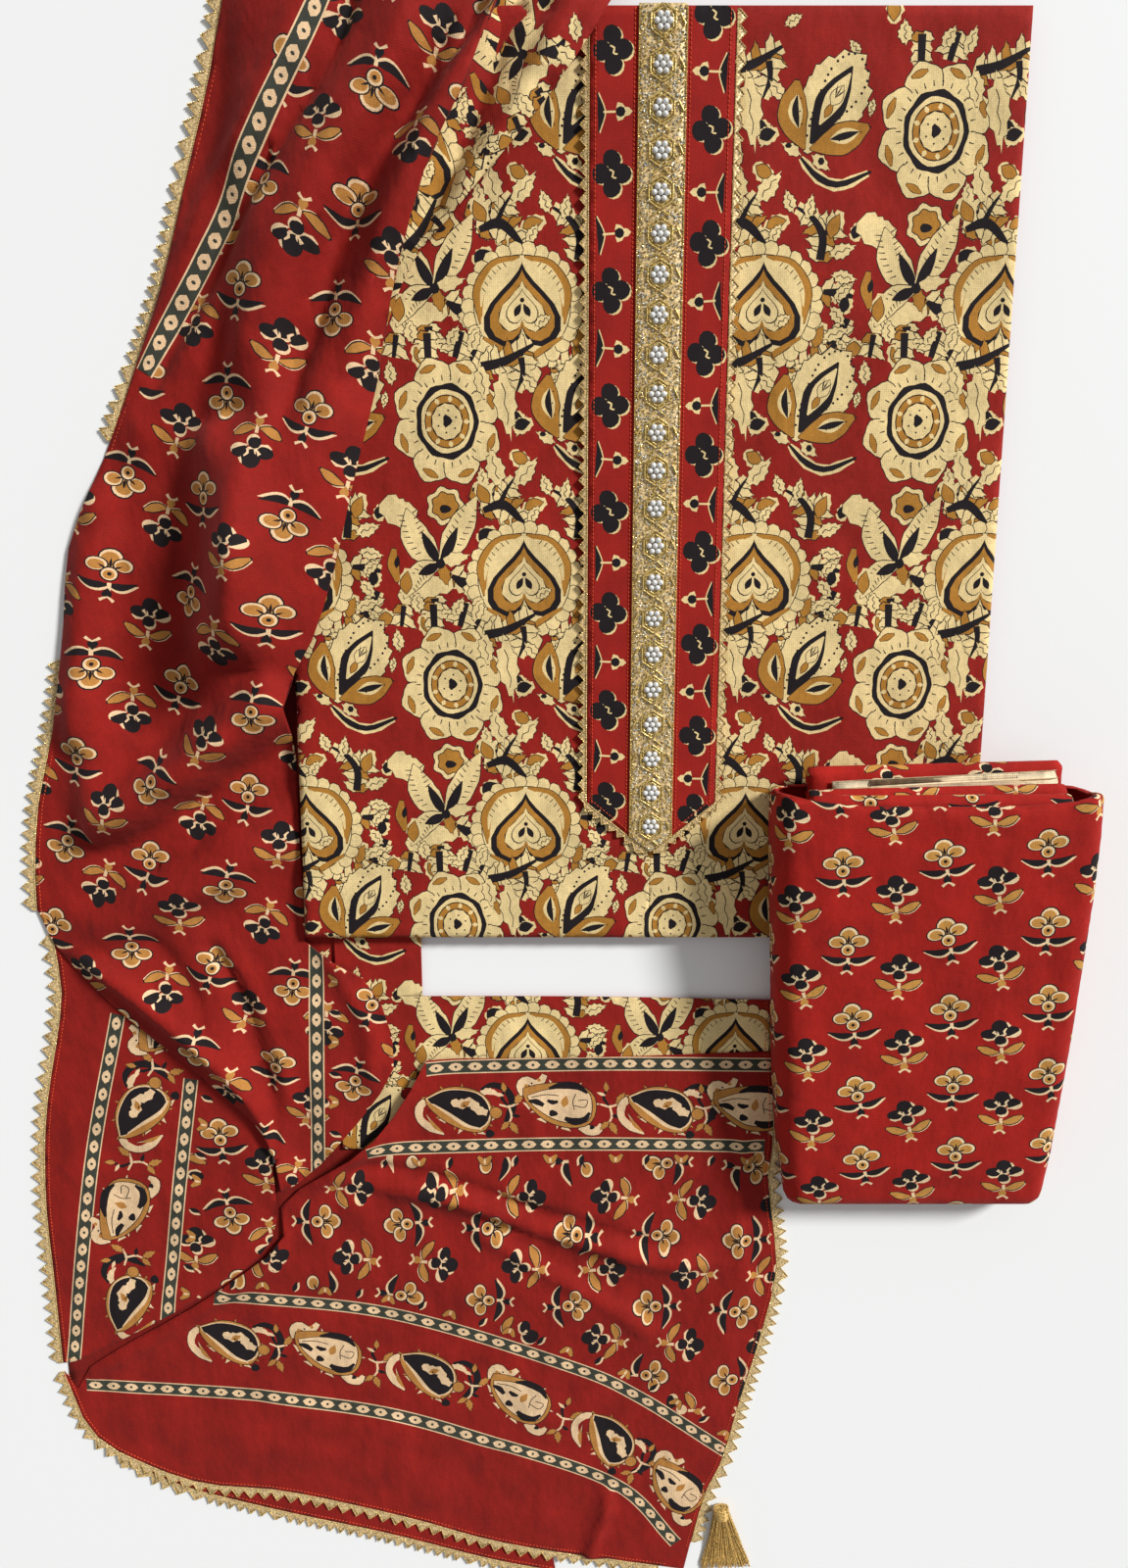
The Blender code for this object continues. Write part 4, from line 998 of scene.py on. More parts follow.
# Creases finer than the frame's
fallFolds = [([(-193, 345), (-216, 292), (-241, 244), (-277, 197), (-313, 127), (-338, 77)], 5, 8),
             ([(-170, 345), (-194, 282), (-232, 226), (-272, 165), (-312, 100), (-336, 55)], -10, 7),
             ([(-135, 345), (-152, 285), (-192, 222), (-236, 150), (-268, 90), (-290, 30)], 9.5, 12.5),
             ([(-98, 345), (-106, 299), (-142, 250), (-176, 203), (-208, 141), (-227, 86), (-236, 39)], -15, 8.5),
             ([(-83, 345), (-91, 290), (-121, 245), (-147, 200), (-169, 150), (-188, 84), (-203, 30)], 8.5, 9.5),
             ([(-192, 80), (-210, 30), (-222, -30), (-236, -80)], 6, 14),
             ([(-356, 25), (-375, -31), (-387, -89), (-400, -170)], 12.5, 13),
             ([(-342, 20), (-331, -25), (-328, -80), (-331, -120), (-345, -163)], -19, 16),
             ([(-285, 60), (-270, -10), (-270, -60), (-278, -103)], 29, 22.5),
             ([(-414, -275), (-359, -244), (-323, -220), (-285, -195), (-240, -168)], -19, 12.5),
             ([(-398, -225), (-348, -197), (-305, -165), (-268, -138), (-240, -118)], 26, 19),
             ([(-400, -306), (-337, -276), (-287, -250), (-240, -226)], 7.5, 15),
             ([(-316, -302), (-293, -350), (-285, -388), (-275, -439), (-272, -490)], -7, 4.5),
             ([(-303, -300), (-277, -355), (-266, -400), (-258, -450)], 4.5, 8),
             ([(-422, -306), (-392, -329), (-357, -359), (-312, -402), (-280, -448), (-272, -500)], 8, 7),
             ([(-235, -300), (-212, -345), (-196, -385), (-200, -430)], 5, 8),
             ([(-360, -300), (-330, -340), (-318, -380)], -3, 6), ([(-320, 10), (-350, 0), (-380, -20)], -4, 6)]
cornerFolds = [([(-392, -350), (-352, -400), (-300, -455)], -2, 10),
               ([(-425, -420), (-432, -520), (-440, -640)], 1.6, 10),
               ([(-400, -662), (-330, -610), (-285, -560)], -1.5, 7)]
spreadFolds = [([(-160, -404), (-188, -445), (-212, -478), (-250, -512)], 5.5, 6.5),
               ([(-268, -532), (-284, -572), (-335, -612), (-398, -652), (-440, -678)], 5, 6.5),
               ([(-235, -498), (-147, -514), (-86, -538), (-37, -555), (27, -572), (82, -570)], 5.5, 7),
               ([(-232, -486), (-146, -500), (-82, -524), (-33, -541), (27, -558), (84, -555)], -5, 5.5),
               ([(-132, -540), (-71, -578), (-13, -613), (19, -641)], 4.5, 7),
               ([(-126, -526), (-64, -563), (-5, -598), (27, -626)], -4, 5),
               ([(-15, -779), (-21, -812), (-34, -856)], 6, 5), ([(-3, -779), (-10, -812), (-22, -856)], -6, 6),
               ([(-100, -600), (-20, -620), (60, -660)], 2.2, 12), ([(-300, -700), (-200, -722), (-100, -752)], 2, 14),
               ([(86, -430), (82, -520), (90, -600)], 2, 6)]
gatherFolds = [([(-100, 338), (-120, 270), (-140, 215), (-168, 150)], 6, 8),
               ([(-70, 338), (-95, 270), (-120, 215), (-150, 165)], -7, 6.5),
               ([(-40, 338), (-62, 275), (-92, 225), (-125, 180)], 7, 8.5),
               ([(-12, 335), (-35, 290), (-60, 252)], 5, 7), ([(-50, 300), (-78, 296), (-100, 302)], -4.5, 6)]
fallField = [(-0.19, 0.36), (-0.225, 0.27), (-0.3, 0.13), (-0.36, 0.03), (-0.46, -0.05), (-0.46, -0.32),
             (-0.33, -0.41), (-0.25, -0.52), (-0.15, -0.4), (-0.15, 0.05), (-0.05, 0.36)]
fallShapes = inside(sprigRows((-0.46, -0.52, -0.05, 0.36), *dupattaLook["fall"]), fallField)
topLine = [(-0.185, 0.345), (-0.205, 0.297), (-0.246, 0.225), (-0.29, 0.15), (-0.33, 0.088)]
fallShapes += dottedLine(topLine) + dottedLine(rightLine) + budRow(rightLine, dupattaLook["budsAt"])
gatherOutline, gatherBase = planOutline("kameez_gather"), heightOf("kameez_gather")


def onKameez(x, y):  # what the dupatta lies on: the panel and the gathered print beside it
    onPanel = np.where(insidePolygon(x, y, panelOutline), panelHeight(x, y) + dupattaLook["abovePanel"], 0)
    onGather = gatherBase(x, y) + foldShape(x, y, gatherFolds) + dupattaLook["aboveGather"]
    return np.maximum(onPanel, np.where(insidePolygon(x, y, gatherOutline), onGather, 0))


fall = clothFromNode("dupattaFallCloth", "dupatta_fall", fallShapes, dupattaInks, dupattaCloth, fallFolds,
                     above=onKameez)
cornerField = [(-0.32, -0.4), (-0.262, -0.46), (-0.262, -0.56), (-0.36, -0.64), (-0.352, -0.55)]
cornerShapes = inside(sprigRows((-0.48, -0.7, -0.2, -0.25), *dupattaLook["corner"]), cornerField)
cornerShapes += dottedLine(leftOuter) + dottedLine(leftInner) + budRow(leftInner, dupattaLook["budsAt"])
cornerShapes += paisleyRow([(-0.398, -0.612), (-0.394, -0.528), (-0.377, -0.448), (-0.35, -0.372)])
corner = clothFromNode("dupattaCornerCloth", "dupatta_corner", cornerShapes, dupattaInks, dupattaCloth, cornerFolds)
spreadField = [(-0.21, -0.486), (0.12, -0.482), (0.12, -0.74), (0.06, -0.72), (0.0, -0.682), (-0.05, -0.652),
               (-0.19, -0.605), (-0.33, -0.588), (-0.25, -0.5)]
spreadShapes = inside(sprigRows((-0.36, -0.76, 0.12, -0.46), *dupattaLook["spread"]), spreadField)
for points in (bandTop, bandFoot, hemUpper, hemLower):
    spreadShapes += dottedLine(points)
spreadShapes += budRow(hemUpper, dupattaLook["budsAt"]) + budRow(bandFoot, -dupattaLook["budsAt"])
spreadShapes += paisleyRow([(-0.322, -0.643), (-0.242, -0.655), (-0.165, -0.672), (-0.09, -0.698), (-0.018, -0.733),
                            (0.038, -0.782)])
spreadShapes += paisleyRow([(-0.135, -0.44), (-0.056, -0.438), (0.018, -0.44), (0.088, -0.441)])
spread = clothFromNode("dupattaSpreadCloth", "dupatta_spread", spreadShapes, dupattaInks, dupattaCloth, spreadFolds)
underHem = clothFromNode("dupattaUnderHemCloth", "dupatta_under_hem", [], dupattaInks, dupattaCloth)
# The turned-under cloth at the foot of the deep folds, low on the floor; its ground is painted a darker red than the
# dupatta's, as shade
tucks = []
for name, corners in (("dupattaTuckFoot", [(-0.14, -0.402), (-0.205, -0.49), (-0.275, -0.56), (-0.36, -0.64),
        (-0.4505, -0.692), (-0.4505, -0.655), (-0.36, -0.59), (-0.292, -0.52), (-0.25, -0.44), (-0.175, -0.375)]),
                      ("dupattaTuckSide", [(-0.2445, -0.34), (-0.2375, -0.29), (-0.234, -0.1), (-0.238, 0.02),
        (-0.262, 0.02), (-0.268, -0.1), (-0.268, -0.33)])):
    # the tucks' darker red ground ink is painted shade
    tucks.append(printedCloth(name, denseLoop(corners, 0.006), [], levelAt(dupattaLook["tuckHeight"]),
                              dict(dupattaInks, ground=dupattaLook["tuckInk"]), dupattaCloth,
                              step=dupattaLook["tuckStep"], thick=dupattaLook["tuckThick"]))
print("dupatta made")

sideCloth = clothFromNode("kameezSideCloth", "kameez_side", panelShapes, kameezInks, kameezCloth)
tailShapes = panelShapes + tiled(kameezTile(), kameezLook["tilePitch"], (-285, -467), (4, 2))
tail = clothFromNode("kameezTailCloth", "kameez_tail", tailShapes, kameezInks, kameezCloth)
gatherShapes = [(ink, q @ np.array(((0.82, 0.57), (-0.57, 0.82))) + (-0.03, 0.02)) for ink,
                q in tiled(kameezTile(), kameezLook["tilePitch"], (-200, 500), (3, 4))]
gather = clothFromNode("kameezGatherCloth", "kameez_gather", gatherShapes, kameezInks, kameezCloth, gatherFolds)
tuckCorners = [(-0.262, -0.262), (-0.185, -0.262), (-0.185, -0.345), (-0.262, -0.345)]
kameezTuck = printedCloth("kameezTuckUnder", denseLoop(tuckCorners, 0.006), panelShapes,
                          levelAt(kameezLook["tuckHeight"]), kameezInks, kameezCloth, step=0.01,
                          thick=kameezLook["tuckThick"])
print("kameez edges made")

# What repeats or follows a path, grown by Geometry Nodes


def newTree(name, sizes):
    tree = bpy.data.node_groups.new(name, "GeometryNodeTree")
    tree.interface.new_socket("Geometry", in_out="INPUT", socket_type="NodeSocketGeometry")
    for key, kind, value in sizes:
        socket = tree.interface.new_socket(key, in_out="INPUT", socket_type="NodeSocket" + kind)
        if value is not None:
            socket.default_value = value
    tree.interface.new_socket("Geometry", in_out="OUTPUT", socket_type="NodeSocketGeometry")
    source, sink = tree.nodes.new("NodeGroupInput"), tree.nodes.new("NodeGroupOutput")
    return tree, source, sink, tree.links.new


def finishTree(tree, source, sink, link, last):
    solid = tree.nodes.new("GeometryNodeRealizeInstances")
    paint = tree.nodes.new("GeometryNodeSetMaterial")
    link(last, solid.inputs[0])
    link(solid.outputs[0], paint.inputs["Geometry"])
    link(source.outputs["Material"], paint.inputs["Material"])
    link(paint.outputs[0], sink.inputs["Geometry"])
    return tree


def spreadOnPoints(tree, source, link, points, rotation=None):
    shape = tree.nodes.new("GeometryNodeObjectInfo")
    put = tree.nodes.new("GeometryNodeInstanceOnPoints")
    vary = tree.nodes.new("FunctionNodeRandomValue")
    vary.data_type = "FLOAT"
    link(source.outputs["Shape"], shape.inputs["Object"])
    link(source.outputs["Least Size"], vary.inputs[2])
    link(source.outputs["Most Size"], vary.inputs[3])
    link(source.outputs["Seed"], vary.inputs["Seed"])
    link(points, put.inputs["Points"])
    link(shape.outputs["Geometry"], put.inputs["Instance"])
    link(vary.outputs[1], put.inputs["Scale"])
    if rotation is not None:
        link(rotation, put.inputs["Rotation"])
    return put.outputs["Instances"]


def rowTree():  # shapes in a row along paths, each turned along its path: stitches and edge beads
    tree, source, sink, link = newTree("rowAlongPath", [("Pitch", "Float", 0.003), ("Shape", "Object", None),
            ("Least Size", "Float", 0.92), ("Most Size", "Float", 1.08), ("Seed", "Int", 3),
            ("Material", "Material", None)])
    curve = tree.nodes.new("GeometryNodeMeshToCurve")
    even = tree.nodes.new("GeometryNodeResampleCurve")
    even.mode = "LENGTH"
    way, turn = tree.nodes.new("GeometryNodeInputTangent"), tree.nodes.new("FunctionNodeAlignRotationToVector")
    turn.axis = "X"
    link(source.outputs["Geometry"], curve.inputs["Mesh"])
    link(curve.outputs[0], even.inputs["Curve"])
    link(source.outputs["Pitch"], even.inputs["Length"])
    link(way.outputs[0], turn.inputs["Vector"])
    return finishTree(tree, source, sink, link, spreadOnPoints(tree, source, link, even.outputs[0], turn.outputs[0]))


def beadTree():  # shapes on loose points, each at its own turn: pearls and small beads
    tree, source, sink, link = newTree("beadsOnPoints", [("Shape", "Object", None), ("Least Size", "Float", 0.9),
            ("Most Size", "Float", 1.1), ("Seed", "Int", 5), ("Material", "Material", None)])
    spin = tree.nodes.new("FunctionNodeRandomValue")
    spin.data_type = "FLOAT_VECTOR"
    spin.inputs[1].default_value = (6.283, 6.283, 6.283)
    link(source.outputs["Seed"], spin.inputs["Seed"])
    return finishTree(tree, source, sink, link, spreadOnPoints(tree, source, link, source.outputs["Geometry"],
            spin.outputs[0]))


def threadTree():  # a round thread or tube along every path
    tree, source, sink, link = newTree("threadAlongPath", [("Radius", "Float", 0.0005), ("Sides", "Int", 6),
            ("Material", "Material", None)])
    curve, tube = tree.nodes.new("GeometryNodeMeshToCurve"), tree.nodes.new("GeometryNodeCurveToMesh")
    ringNode = tree.nodes.new("GeometryNodeCurvePrimitiveCircle")
    soft = tree.nodes.new("GeometryNodeSetShadeSmooth")
    tube.inputs["Fill Caps"].default_value = True
    link(source.outputs["Geometry"], curve.inputs["Mesh"])
    link(source.outputs["Radius"], ringNode.inputs["Radius"])
    link(source.outputs["Sides"], ringNode.inputs["Resolution"])
    link(curve.outputs[0], tube.inputs["Curve"])
    link(ringNode.outputs[0], tube.inputs["Profile Curve"])
    link(tube.outputs[0], soft.inputs["Geometry"])
    return finishTree(tree, source, sink, link, soft.outputs[0])


rowsGrow, beadsGrow, threadsGrow = rowTree(), beadTree(), threadTree()


def pathMesh(name, paths, closed=False):
    verts, edges = [], []
    for path in paths:
        first = len(verts)
        verts += [tuple(float(c) for c in q) for q in path]
        edges += [(first + k, first + k + 1) for k in range(len(path) - 1)]
        if closed:
            edges.append((len(verts) - 1, first))
    mesh = bpy.data.meshes.new(name)
    mesh.from_pydata(verts, edges, [])
    return mesh


def grown(name, mesh, tree, **inputs):
    seedObject = bpy.data.objects.new(name + "Path", mesh)
    bpy.context.scene.collection.objects.link(seedObject)
    modifier = seedObject.modifiers.new("grow", "NODES")
    modifier.node_group = tree
    for item in tree.interface.items_tree:
        key = item.name[0].lower() + item.name[1:].replace(" ", "")
        if item.in_out == "INPUT" and key in inputs:
            modifier[item.identifier] = inputs[key]
    result = bpy.data.meshes.new_from_object(seedObject.evaluated_get(bpy.context.evaluated_depsgraph_get()))
    seedObject.modifiers.clear()
    bpy.data.objects.remove(seedObject)
    piece = bpy.data.objects.new(name, result)
    bpy.context.scene.collection.objects.link(piece)
    print(" ", name, len(result.polygons), "faces")
    return piece


def ballShape(name, radius, detail=1, squash=1.0):
    bm = bmesh.new()
    bmesh.ops.create_icosphere(bm, subdivisions=detail, radius=radius)
    for v in bm.verts:
        v.co.x *= squash
    mesh = bpy.data.meshes.new(name)
    bm.to_mesh(mesh)
    bm.free()
    mesh.polygons.foreach_set("use_smooth", [detail > 1] * len(mesh.polygons))
    obj = bpy.data.objects.new(name, mesh)
    bpy.context.scene.collection.objects.link(obj)
    shapesToRemove.append(obj)
    return obj


shapesToRemove = []
stitchShape = ballShape("stitchShape", 0.00032, 2, 3.2)
edgeBead = ballShape("edgeBead", 0.0005, 1)
smallBead = ballShape("smallBead", 0.00062, 1)
pearlShape = ballShape("pearlShape", 0.002, 2)
stitchThread = clothMaterial("stitchThread", tint=(214, 78, 44), crumple=0.0001, wash=0.08)


def pearlMaterial():
    mat, tree, shader = newMaterial("pearlGloss")
    place = node(tree, "ShaderNodeTexCoord").outputs["Object"]
    ramp = node(tree, "ShaderNodeValToRGB")
    ramp.color_ramp.elements[0].color = linear((206, 208, 208)) + (1,)
    ramp.color_ramp.elements[1].color = linear((240, 238, 232)) + (1,)
    tree.links.new(noiseOf(tree, place, 260, 2), ramp.inputs["Fac"])
    tree.links.new(ramp.outputs[0], shader.inputs["Base Color"])
    tree.links.new(span(tree, noiseOf(tree, place, 500, 2), 0.12, 0.26), shader.inputs["Roughness"])
    shader.inputs["Coat Weight"].default_value = 0.6
    return mat


pearlGloss = pearlMaterial()
sewnPieces = []  # laces, stitches and beads: piece, slot, the node that it stands for


laceLook = {"reach": 0.0068, "threadRadius": 0.0004, "beadPitch": 0.0017, "stitchPitch": 0.0029, "stitchInset": 0.0028,
            "plate": (214, 180, 120)}


def hemPath(clothName, laceName):  # the stretch of a cloth's outline that its lace follows
    outline = denseLoop(planOutline(clothName), 0.004)
    lace = np.array([tuple(v.co)[:2] for v in nodes[laceName].data.vertices])
    near = np.array([np.min(np.hypot(*(lace - q).T)) < laceLook["reach"] for q in outline])
    start = 0 if near.all() else int(np.argmin(near))
    path, run = [], []
    for k in range(len(near) + 1):
        at = (start + k) % len(near)
        if k < len(near) and near[at]:
            run.append(outline[at])
        else:
            path, run = (run if len(run) > len(path) else path), []
    path = smoothLine(np.array(path), max(len(path), 6))
    way = np.gradient(path, axis=0)
    way /= np.maximum(np.linalg.norm(way, axis=1), 1e-9)[:, None]
    side = np.stack([-way[:, 1], way[:, 0]], 1)
    middle = outline.mean(axis=0)
    if ((middle - path[len(path) // 2]) @ side[len(path) // 2]) < 0:
        side = -side
    return path + side * laceLook["stitchInset"]


for laceName, clothName in (("gota_corner", "dupatta_corner"), ("gota_fall_lower", "dupatta_fall"),
                            ("gota_fall_upper", "dupatta_fall"), ("gota_spread_hem", "dupatta_spread"),
                            ("gota_spread_side", "dupatta_spread"), ("gota_under_hem", "dupatta_under_hem"),
                            ("tail_gota", "kameez_tail"), ("yoke_gota_left", "yoke_panel"),
                            ("yoke_gota_right", "yoke_panel")):
    words = laceName.split("_")
    camel = words[0] + "".join(w.title() for w in words[1:])
    laceOutline = planOutline(laceName, 0.3)
    laceHeight = heightOf(laceName, 0.004, 0.004, 0.02)
    plate = printedCloth(camel + "Lace", laceOutline, [], laceHeight, {"ground": laceLook["plate"]}, goldThread,
                         step=0.004, thick=0.0005)
    rim = np.column_stack([laceOutline, laceHeight(laceOutline[:, 0], laceOutline[:, 1]) + 0.0001])
    cord = grown(camel + "Cord", pathMesh(camel, [rim], True), threadsGrow, radius=laceLook["threadRadius"], sides=5,
                 material=goldThread)
    beadRow = grown(camel + "Beads", pathMesh(camel, [rim], True), rowsGrow, pitch=laceLook["beadPitch"],
                    shape=edgeBead, material=goldBead)
    beadRow.data.transform(Matrix.Translation((0, 0, 0.0003)))
    sewnPieces += [(plate, "gota_gold", (laceName,)), (cord, "gota_gold", ()), (beadRow, "gota_gold", ())]
    if clothName != "yoke_panel":
        hem = hemPath(clothName, laceName)
        clothHeight = heightOf(clothName, 0.005, 0.005)
        line = np.column_stack([hem, clothHeight(hem[:, 0], hem[:, 1]) + 0.00035])
        sewnPieces.append((grown(camel + "Stitches", pathMesh(camel, [line]), rowsGrow, pitch=laceLook["stitchPitch"],
                                 shape=stitchShape, material=stitchThread), "gota_gold", ()))
print("laces made")

# Placket panel
slope = (placket["shoulder"] - placket["tip"]) / placket["half"]
m, h = placket["middle"], placket["half"]
placketOutline = denseLoop([(m, placket["tip"]), (m + h, placket["shoulder"]), (m + h, placket["top"]),
                            (m - h, placket["top"]), (m - h, placket["shoulder"])], 0.004)
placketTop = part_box("yoke_panel")[1].z


def placketFlower(lobes):
    s = []
    for k in range(lobes):
        a = math.pi / 2 * (k + 1)
        at = polar(a, 6.8, 8.2)
        s += [("cream", ring(5.8, 0, 0, 12, (at[0] + 1.3, at[1] - 0.9), 1.05)),
              ("black", ring(5.9, 0.04, 3, 12, at, 1.05))]
    return s + [("black", ring(4.5, 0, 0, 8)), ("cream", strip([(-1.5, 2.5), (1.2, 1), (0.4, -2), (3, -2.6)],
            (0.9, 1.2, 1.2, 0.9), 7))]


def placketBud():
    s = [("cream", strip([(-10, 12), (-7.5, 0), (-9.5, -13)], (0.6, 5, 0.6), 10)),
         ("black", strip([(-11, 12), (-8.5, 0), (-10.5, -13)], (0.6, 5.4, 0.6), 10))]
    return s + [("cream", strip([(-7, 0), (2, 0)], (1.4, 1.4), 3)), ("cream", ring(5, 0.35, 3, 12, (6, 0))),
                ("black", ring(3.4, 0, 0, 8, (4.6, 0)))]


photoFit = {"middleRow": 800, "metresPerRow": 0.0007013, "tiltCosine": 0.9781, "fade": 0.00018182, "eyeY": 0.168,
            "eyeZ": 0.792, "originY": 0.19, "placketZ": 0.0155}


def tiltedY(px):  # where a row of the photo lies along the placket, in mm
    v = photoFit["middleRow"] - px
    y = photoFit["metresPerRow"] * v / (photoFit["tiltCosine"] * (1 + photoFit["fade"] * v))
    return (photoFit["eyeY"] + (y - photoFit["eyeY"]) * (1 - photoFit["placketZ"] / photoFit["eyeZ"])
            - photoFit["originY"]) * 1000


placketShapes = []
for way, flowers, buds, lobes in ((-1, (53, 179, 298, 415, 523, 626, 725, 818), (116, 240, 357, 470, 575, 676, 772),
                                   4), (1, (17, 134, 250, 362, 465, 564, 658, 751, 830),
        (75, 198, 309, 415, 515, 612, 706, 795), 4)):
    for px in flowers:
        placketShapes += inMetres(placed(placketFlower(lobes), (m * 1000 + way * placket["flowersAt"], tiltedY(px)),
                8 * math.sin(px), placket["flowerSize"]))
    for px in buds:
        placketShapes += inMetres(placed(placketBud(), (m * 1000 + way * placket["budsAt"], tiltedY(px)),
                5 * math.sin(px), placket["budSize"], flip=way > 0))
placketInks = dict(kameezInks, ground=placket["ground"])
placketSheet = printedCloth("placketPanelPrint", placketOutline, placketShapes, levelAt(placketTop), placketInks,
                            placketCloth, step=0.006, thick=placket["thick"])
print("placket made")

placketStitch, stitchZ = [], placketTop + placket["stitchLift"]
outer = h - placket["stitchInset"]
for x in (m - h + placket["stitchInset"], m - placket["strip"] - placket["stripStitch"],
          m + placket["strip"] + placket["stripStitch"], m + h - placket["stitchInset"]):
    foot = placket["shoulder"] - slope * (h - abs(x - m)) + 0.003
    placketStitch.append([(x, placket["top"] - 0.002, stitchZ), (x, foot, stitchZ)])
for f in (-1, 1):
    reach = placket["strip"] + 0.001
    placketStitch.append([(m + f * outer, placket["shoulder"] + 0.001, stitchZ),
                          (m + f * reach, placket["tip"] + slope * reach + placket["stitchInset"], stitchZ)])
sewnPieces.append((grown("placketStitches", pathMesh("placketStitches", placketStitch), rowsGrow,
                         pitch=placket["stitchPitch"], shape=stitchShape, material=stitchThread), "placket_print", ()))

# Bead lace: pearl clusters in gold hexagons on a ground of small beads
beadLace = {"pitch": 0.0242, "first": 0.291, "count": 22, "pearlRing": 0.0041, "middlePearl": 0.0016,
            "ringPearl": 0.0013, "hexagon": 0.0088, "innerHexagon": 0.0069, "hexagonTall": 1.12, "hexagonGap": 0.06,
            "wire": 0.00062, "base": 0.0007, "half": 0.015, "groundHalf": 0.0142, "groundBeads": 5200,
            "clearRing": 0.006, "goldShare": 0.52, "edgeAt": 0.0147, "edgePitch": 0.0013, "ground": (190, 170, 120)}
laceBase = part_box("placket_lace")[0].z + beadLace["base"]
neckY = placket["shoulder"] - slope * (h - placket["strip"])
laceOutline = denseLoop([(m, placket["tip"] + 0.0005), (m + beadLace["half"], neckY),
                         (m + beadLace["half"], placket["top"] + 0.001),
                         (m - beadLace["half"], placket["top"] + 0.001), (m - beadLace["half"], neckY)], 0.004)
laceNet = printedCloth("beadLaceNet", laceOutline, [], levelAt(laceBase), {"ground": beadLace["ground"]}, goldThread,
                       step=0.006, thick=0.0006)
rng = random.Random(21)
pearls, hexagons, crosses, goldPoints, silverPoints = [], [], [], [], []
for k in range(beadLace["count"]):
    y, r = beadLace["first"] - k * beadLace["pitch"], beadLace["pearlRing"]
    pearls.append((m, y, laceBase + beadLace["middlePearl"]))
    pearls += [(m + r * math.cos(math.pi / 3 * t), y + r * math.sin(math.pi / 3 * t), laceBase + beadLace["ringPearl"])
               for t in range(6)]
    for r, z in ((beadLace["hexagon"], 0.0011), (beadLace["innerHexagon"], 0.0008)):
        corners = [np.array((m + r * math.cos(math.pi / 3 * t + math.pi / 6),
                             y + r * beadLace["hexagonTall"] * math.sin(math.pi / 3 * t + math.pi / 6), laceBase + z))
                   for t in range(6)]
        for a, b in zip(corners, corners[1:] + corners[:1]):
            hexagons.append([a + (b - a) * beadLace["hexagonGap"], b - (b - a) * beadLace["hexagonGap"]])
    for f in (-1, 1):
        for across0, up0, across1, up1, z in ((0.0015, -0.0105, 0.0055, -0.0137, 0.0011),
                (0.0105, 0.004, 0.0135, -0.002, 0.0009)):
            crosses.append([(m + f * across0, y + up0, laceBase + z), (m + f * across1, y + up1, laceBase + z)])
for k in range(beadLace["groundBeads"]):
    x, y = m + rng.uniform(-beadLace["groundHalf"], beadLace["groundHalf"]), rng.uniform(placket["tip"] + 0.003,
            placket["top"])
    near = (beadLace["first"] - y) / beadLace["pitch"]
    gap = math.hypot(x - m, (near - round(near)) * beadLace["pitch"])
    if gap < beadLace["clearRing"] or not insidePolygon(np.array([x]), np.array([y]), laceOutline)[0]:
        continue
    (goldPoints if rng.random() < beadLace["goldShare"] else silverPoints).append((x, y,
            laceBase + rng.uniform(0.0002, 0.0007)))
for f in (-1, 1):
    goldPoints += [(m + f * beadLace["edgeAt"], y, laceBase + 0.0004)
                   for y in np.arange(neckY, placket["top"], beadLace["edgePitch"])]
sewnPieces.append((laceNet, "bead_gold", ("placket_lace",)))
for name, paths, tree, look in (("beadLacePearls", [[q] for q in pearls], beadsGrow,
                                 {"shape": pearlShape, "leastSize": 0.94, "mostSize": 1.04, "material": pearlGloss}),
                                ("beadLaceHexagons", hexagons + crosses, threadsGrow,
                                 {"radius": beadLace["wire"], "sides": 6, "material": goldBead}),
                                ("beadLaceGold", [[q] for q in goldPoints], beadsGrow,
                                 {"shape": smallBead, "material": goldBead}),
                                ("beadLaceSilver", [[q] for q in silverPoints], beadsGrow,
                                 {"shape": smallBead, "leastSize": 0.8, "mostSize": 1.15, "material": silverBead})):
    sewnPieces.append((grown(name, pathMesh(name, paths), tree, **look), "bead_gold", ()))
print("bead lace made")

# Tassel
tasselLook = {"at": (0.0771, -0.809, 0.0049), "way": (0.1, -1.0), "strands": 190, "length": 0.064, "radius": 0.00042,
              "fan": 0.0155, "rootHalf": 0.0052, "rootTall": 0.0034, "floorGap": 0.0007, "startInside": 0.011,
              "bindingTurns": 9, "bindingFrom": 0.0015, "bindingLength": 0.0095, "bindingHalf": 0.0058,
              "bindingTall": 0.0039, "bindingRadius": 0.0007}
way = np.array(tasselLook["way"]) / np.linalg.norm(tasselLook["way"])
across = np.array((-way[1], way[0]))
root = np.array(tasselLook["at"])
rng = random.Random(8)
strands = []
for k in range(tasselLook["strands"]):
    u, w = rng.uniform(-1, 1), rng.uniform(-1, 1)
    long = tasselLook["length"] * rng.uniform(0.86, 1.0)
    bend, phase = rng.uniform(0.0004, 0.0016), rng.uniform(0, 6.28)
    path = []
    for t in np.linspace(0, 1, 9):  # each strand fans out and sinks to the floor
        side = u * (tasselLook["rootHalf"] + tasselLook["fan"] * t ** 1.2) + bend * math.sin(phase + 5 * t) * t
        sink = (root[2] + w * tasselLook["rootTall"] - tasselLook["floorGap"]) * (1 - t) ** 1.6
        flat = root[:2] + way * (long * t - tasselLook["startInside"]) + across * side
        path.append((flat[0], flat[1], tasselLook["floorGap"] + sink + 0.0014 * abs(w) * t))
    strands.append(path)
neckWrap = []
for t in np.linspace(0, 1, 130):
    a = t * 2 * math.pi * tasselLook["bindingTurns"]
    flat = root[:2] - way * (tasselLook["bindingFrom"] + tasselLook["bindingLength"]
                             * t) + across * tasselLook["bindingHalf"] * math.cos(a)
    neckWrap.append((flat[0], flat[1], root[2] + tasselLook["bindingTall"] * math.sin(a)))
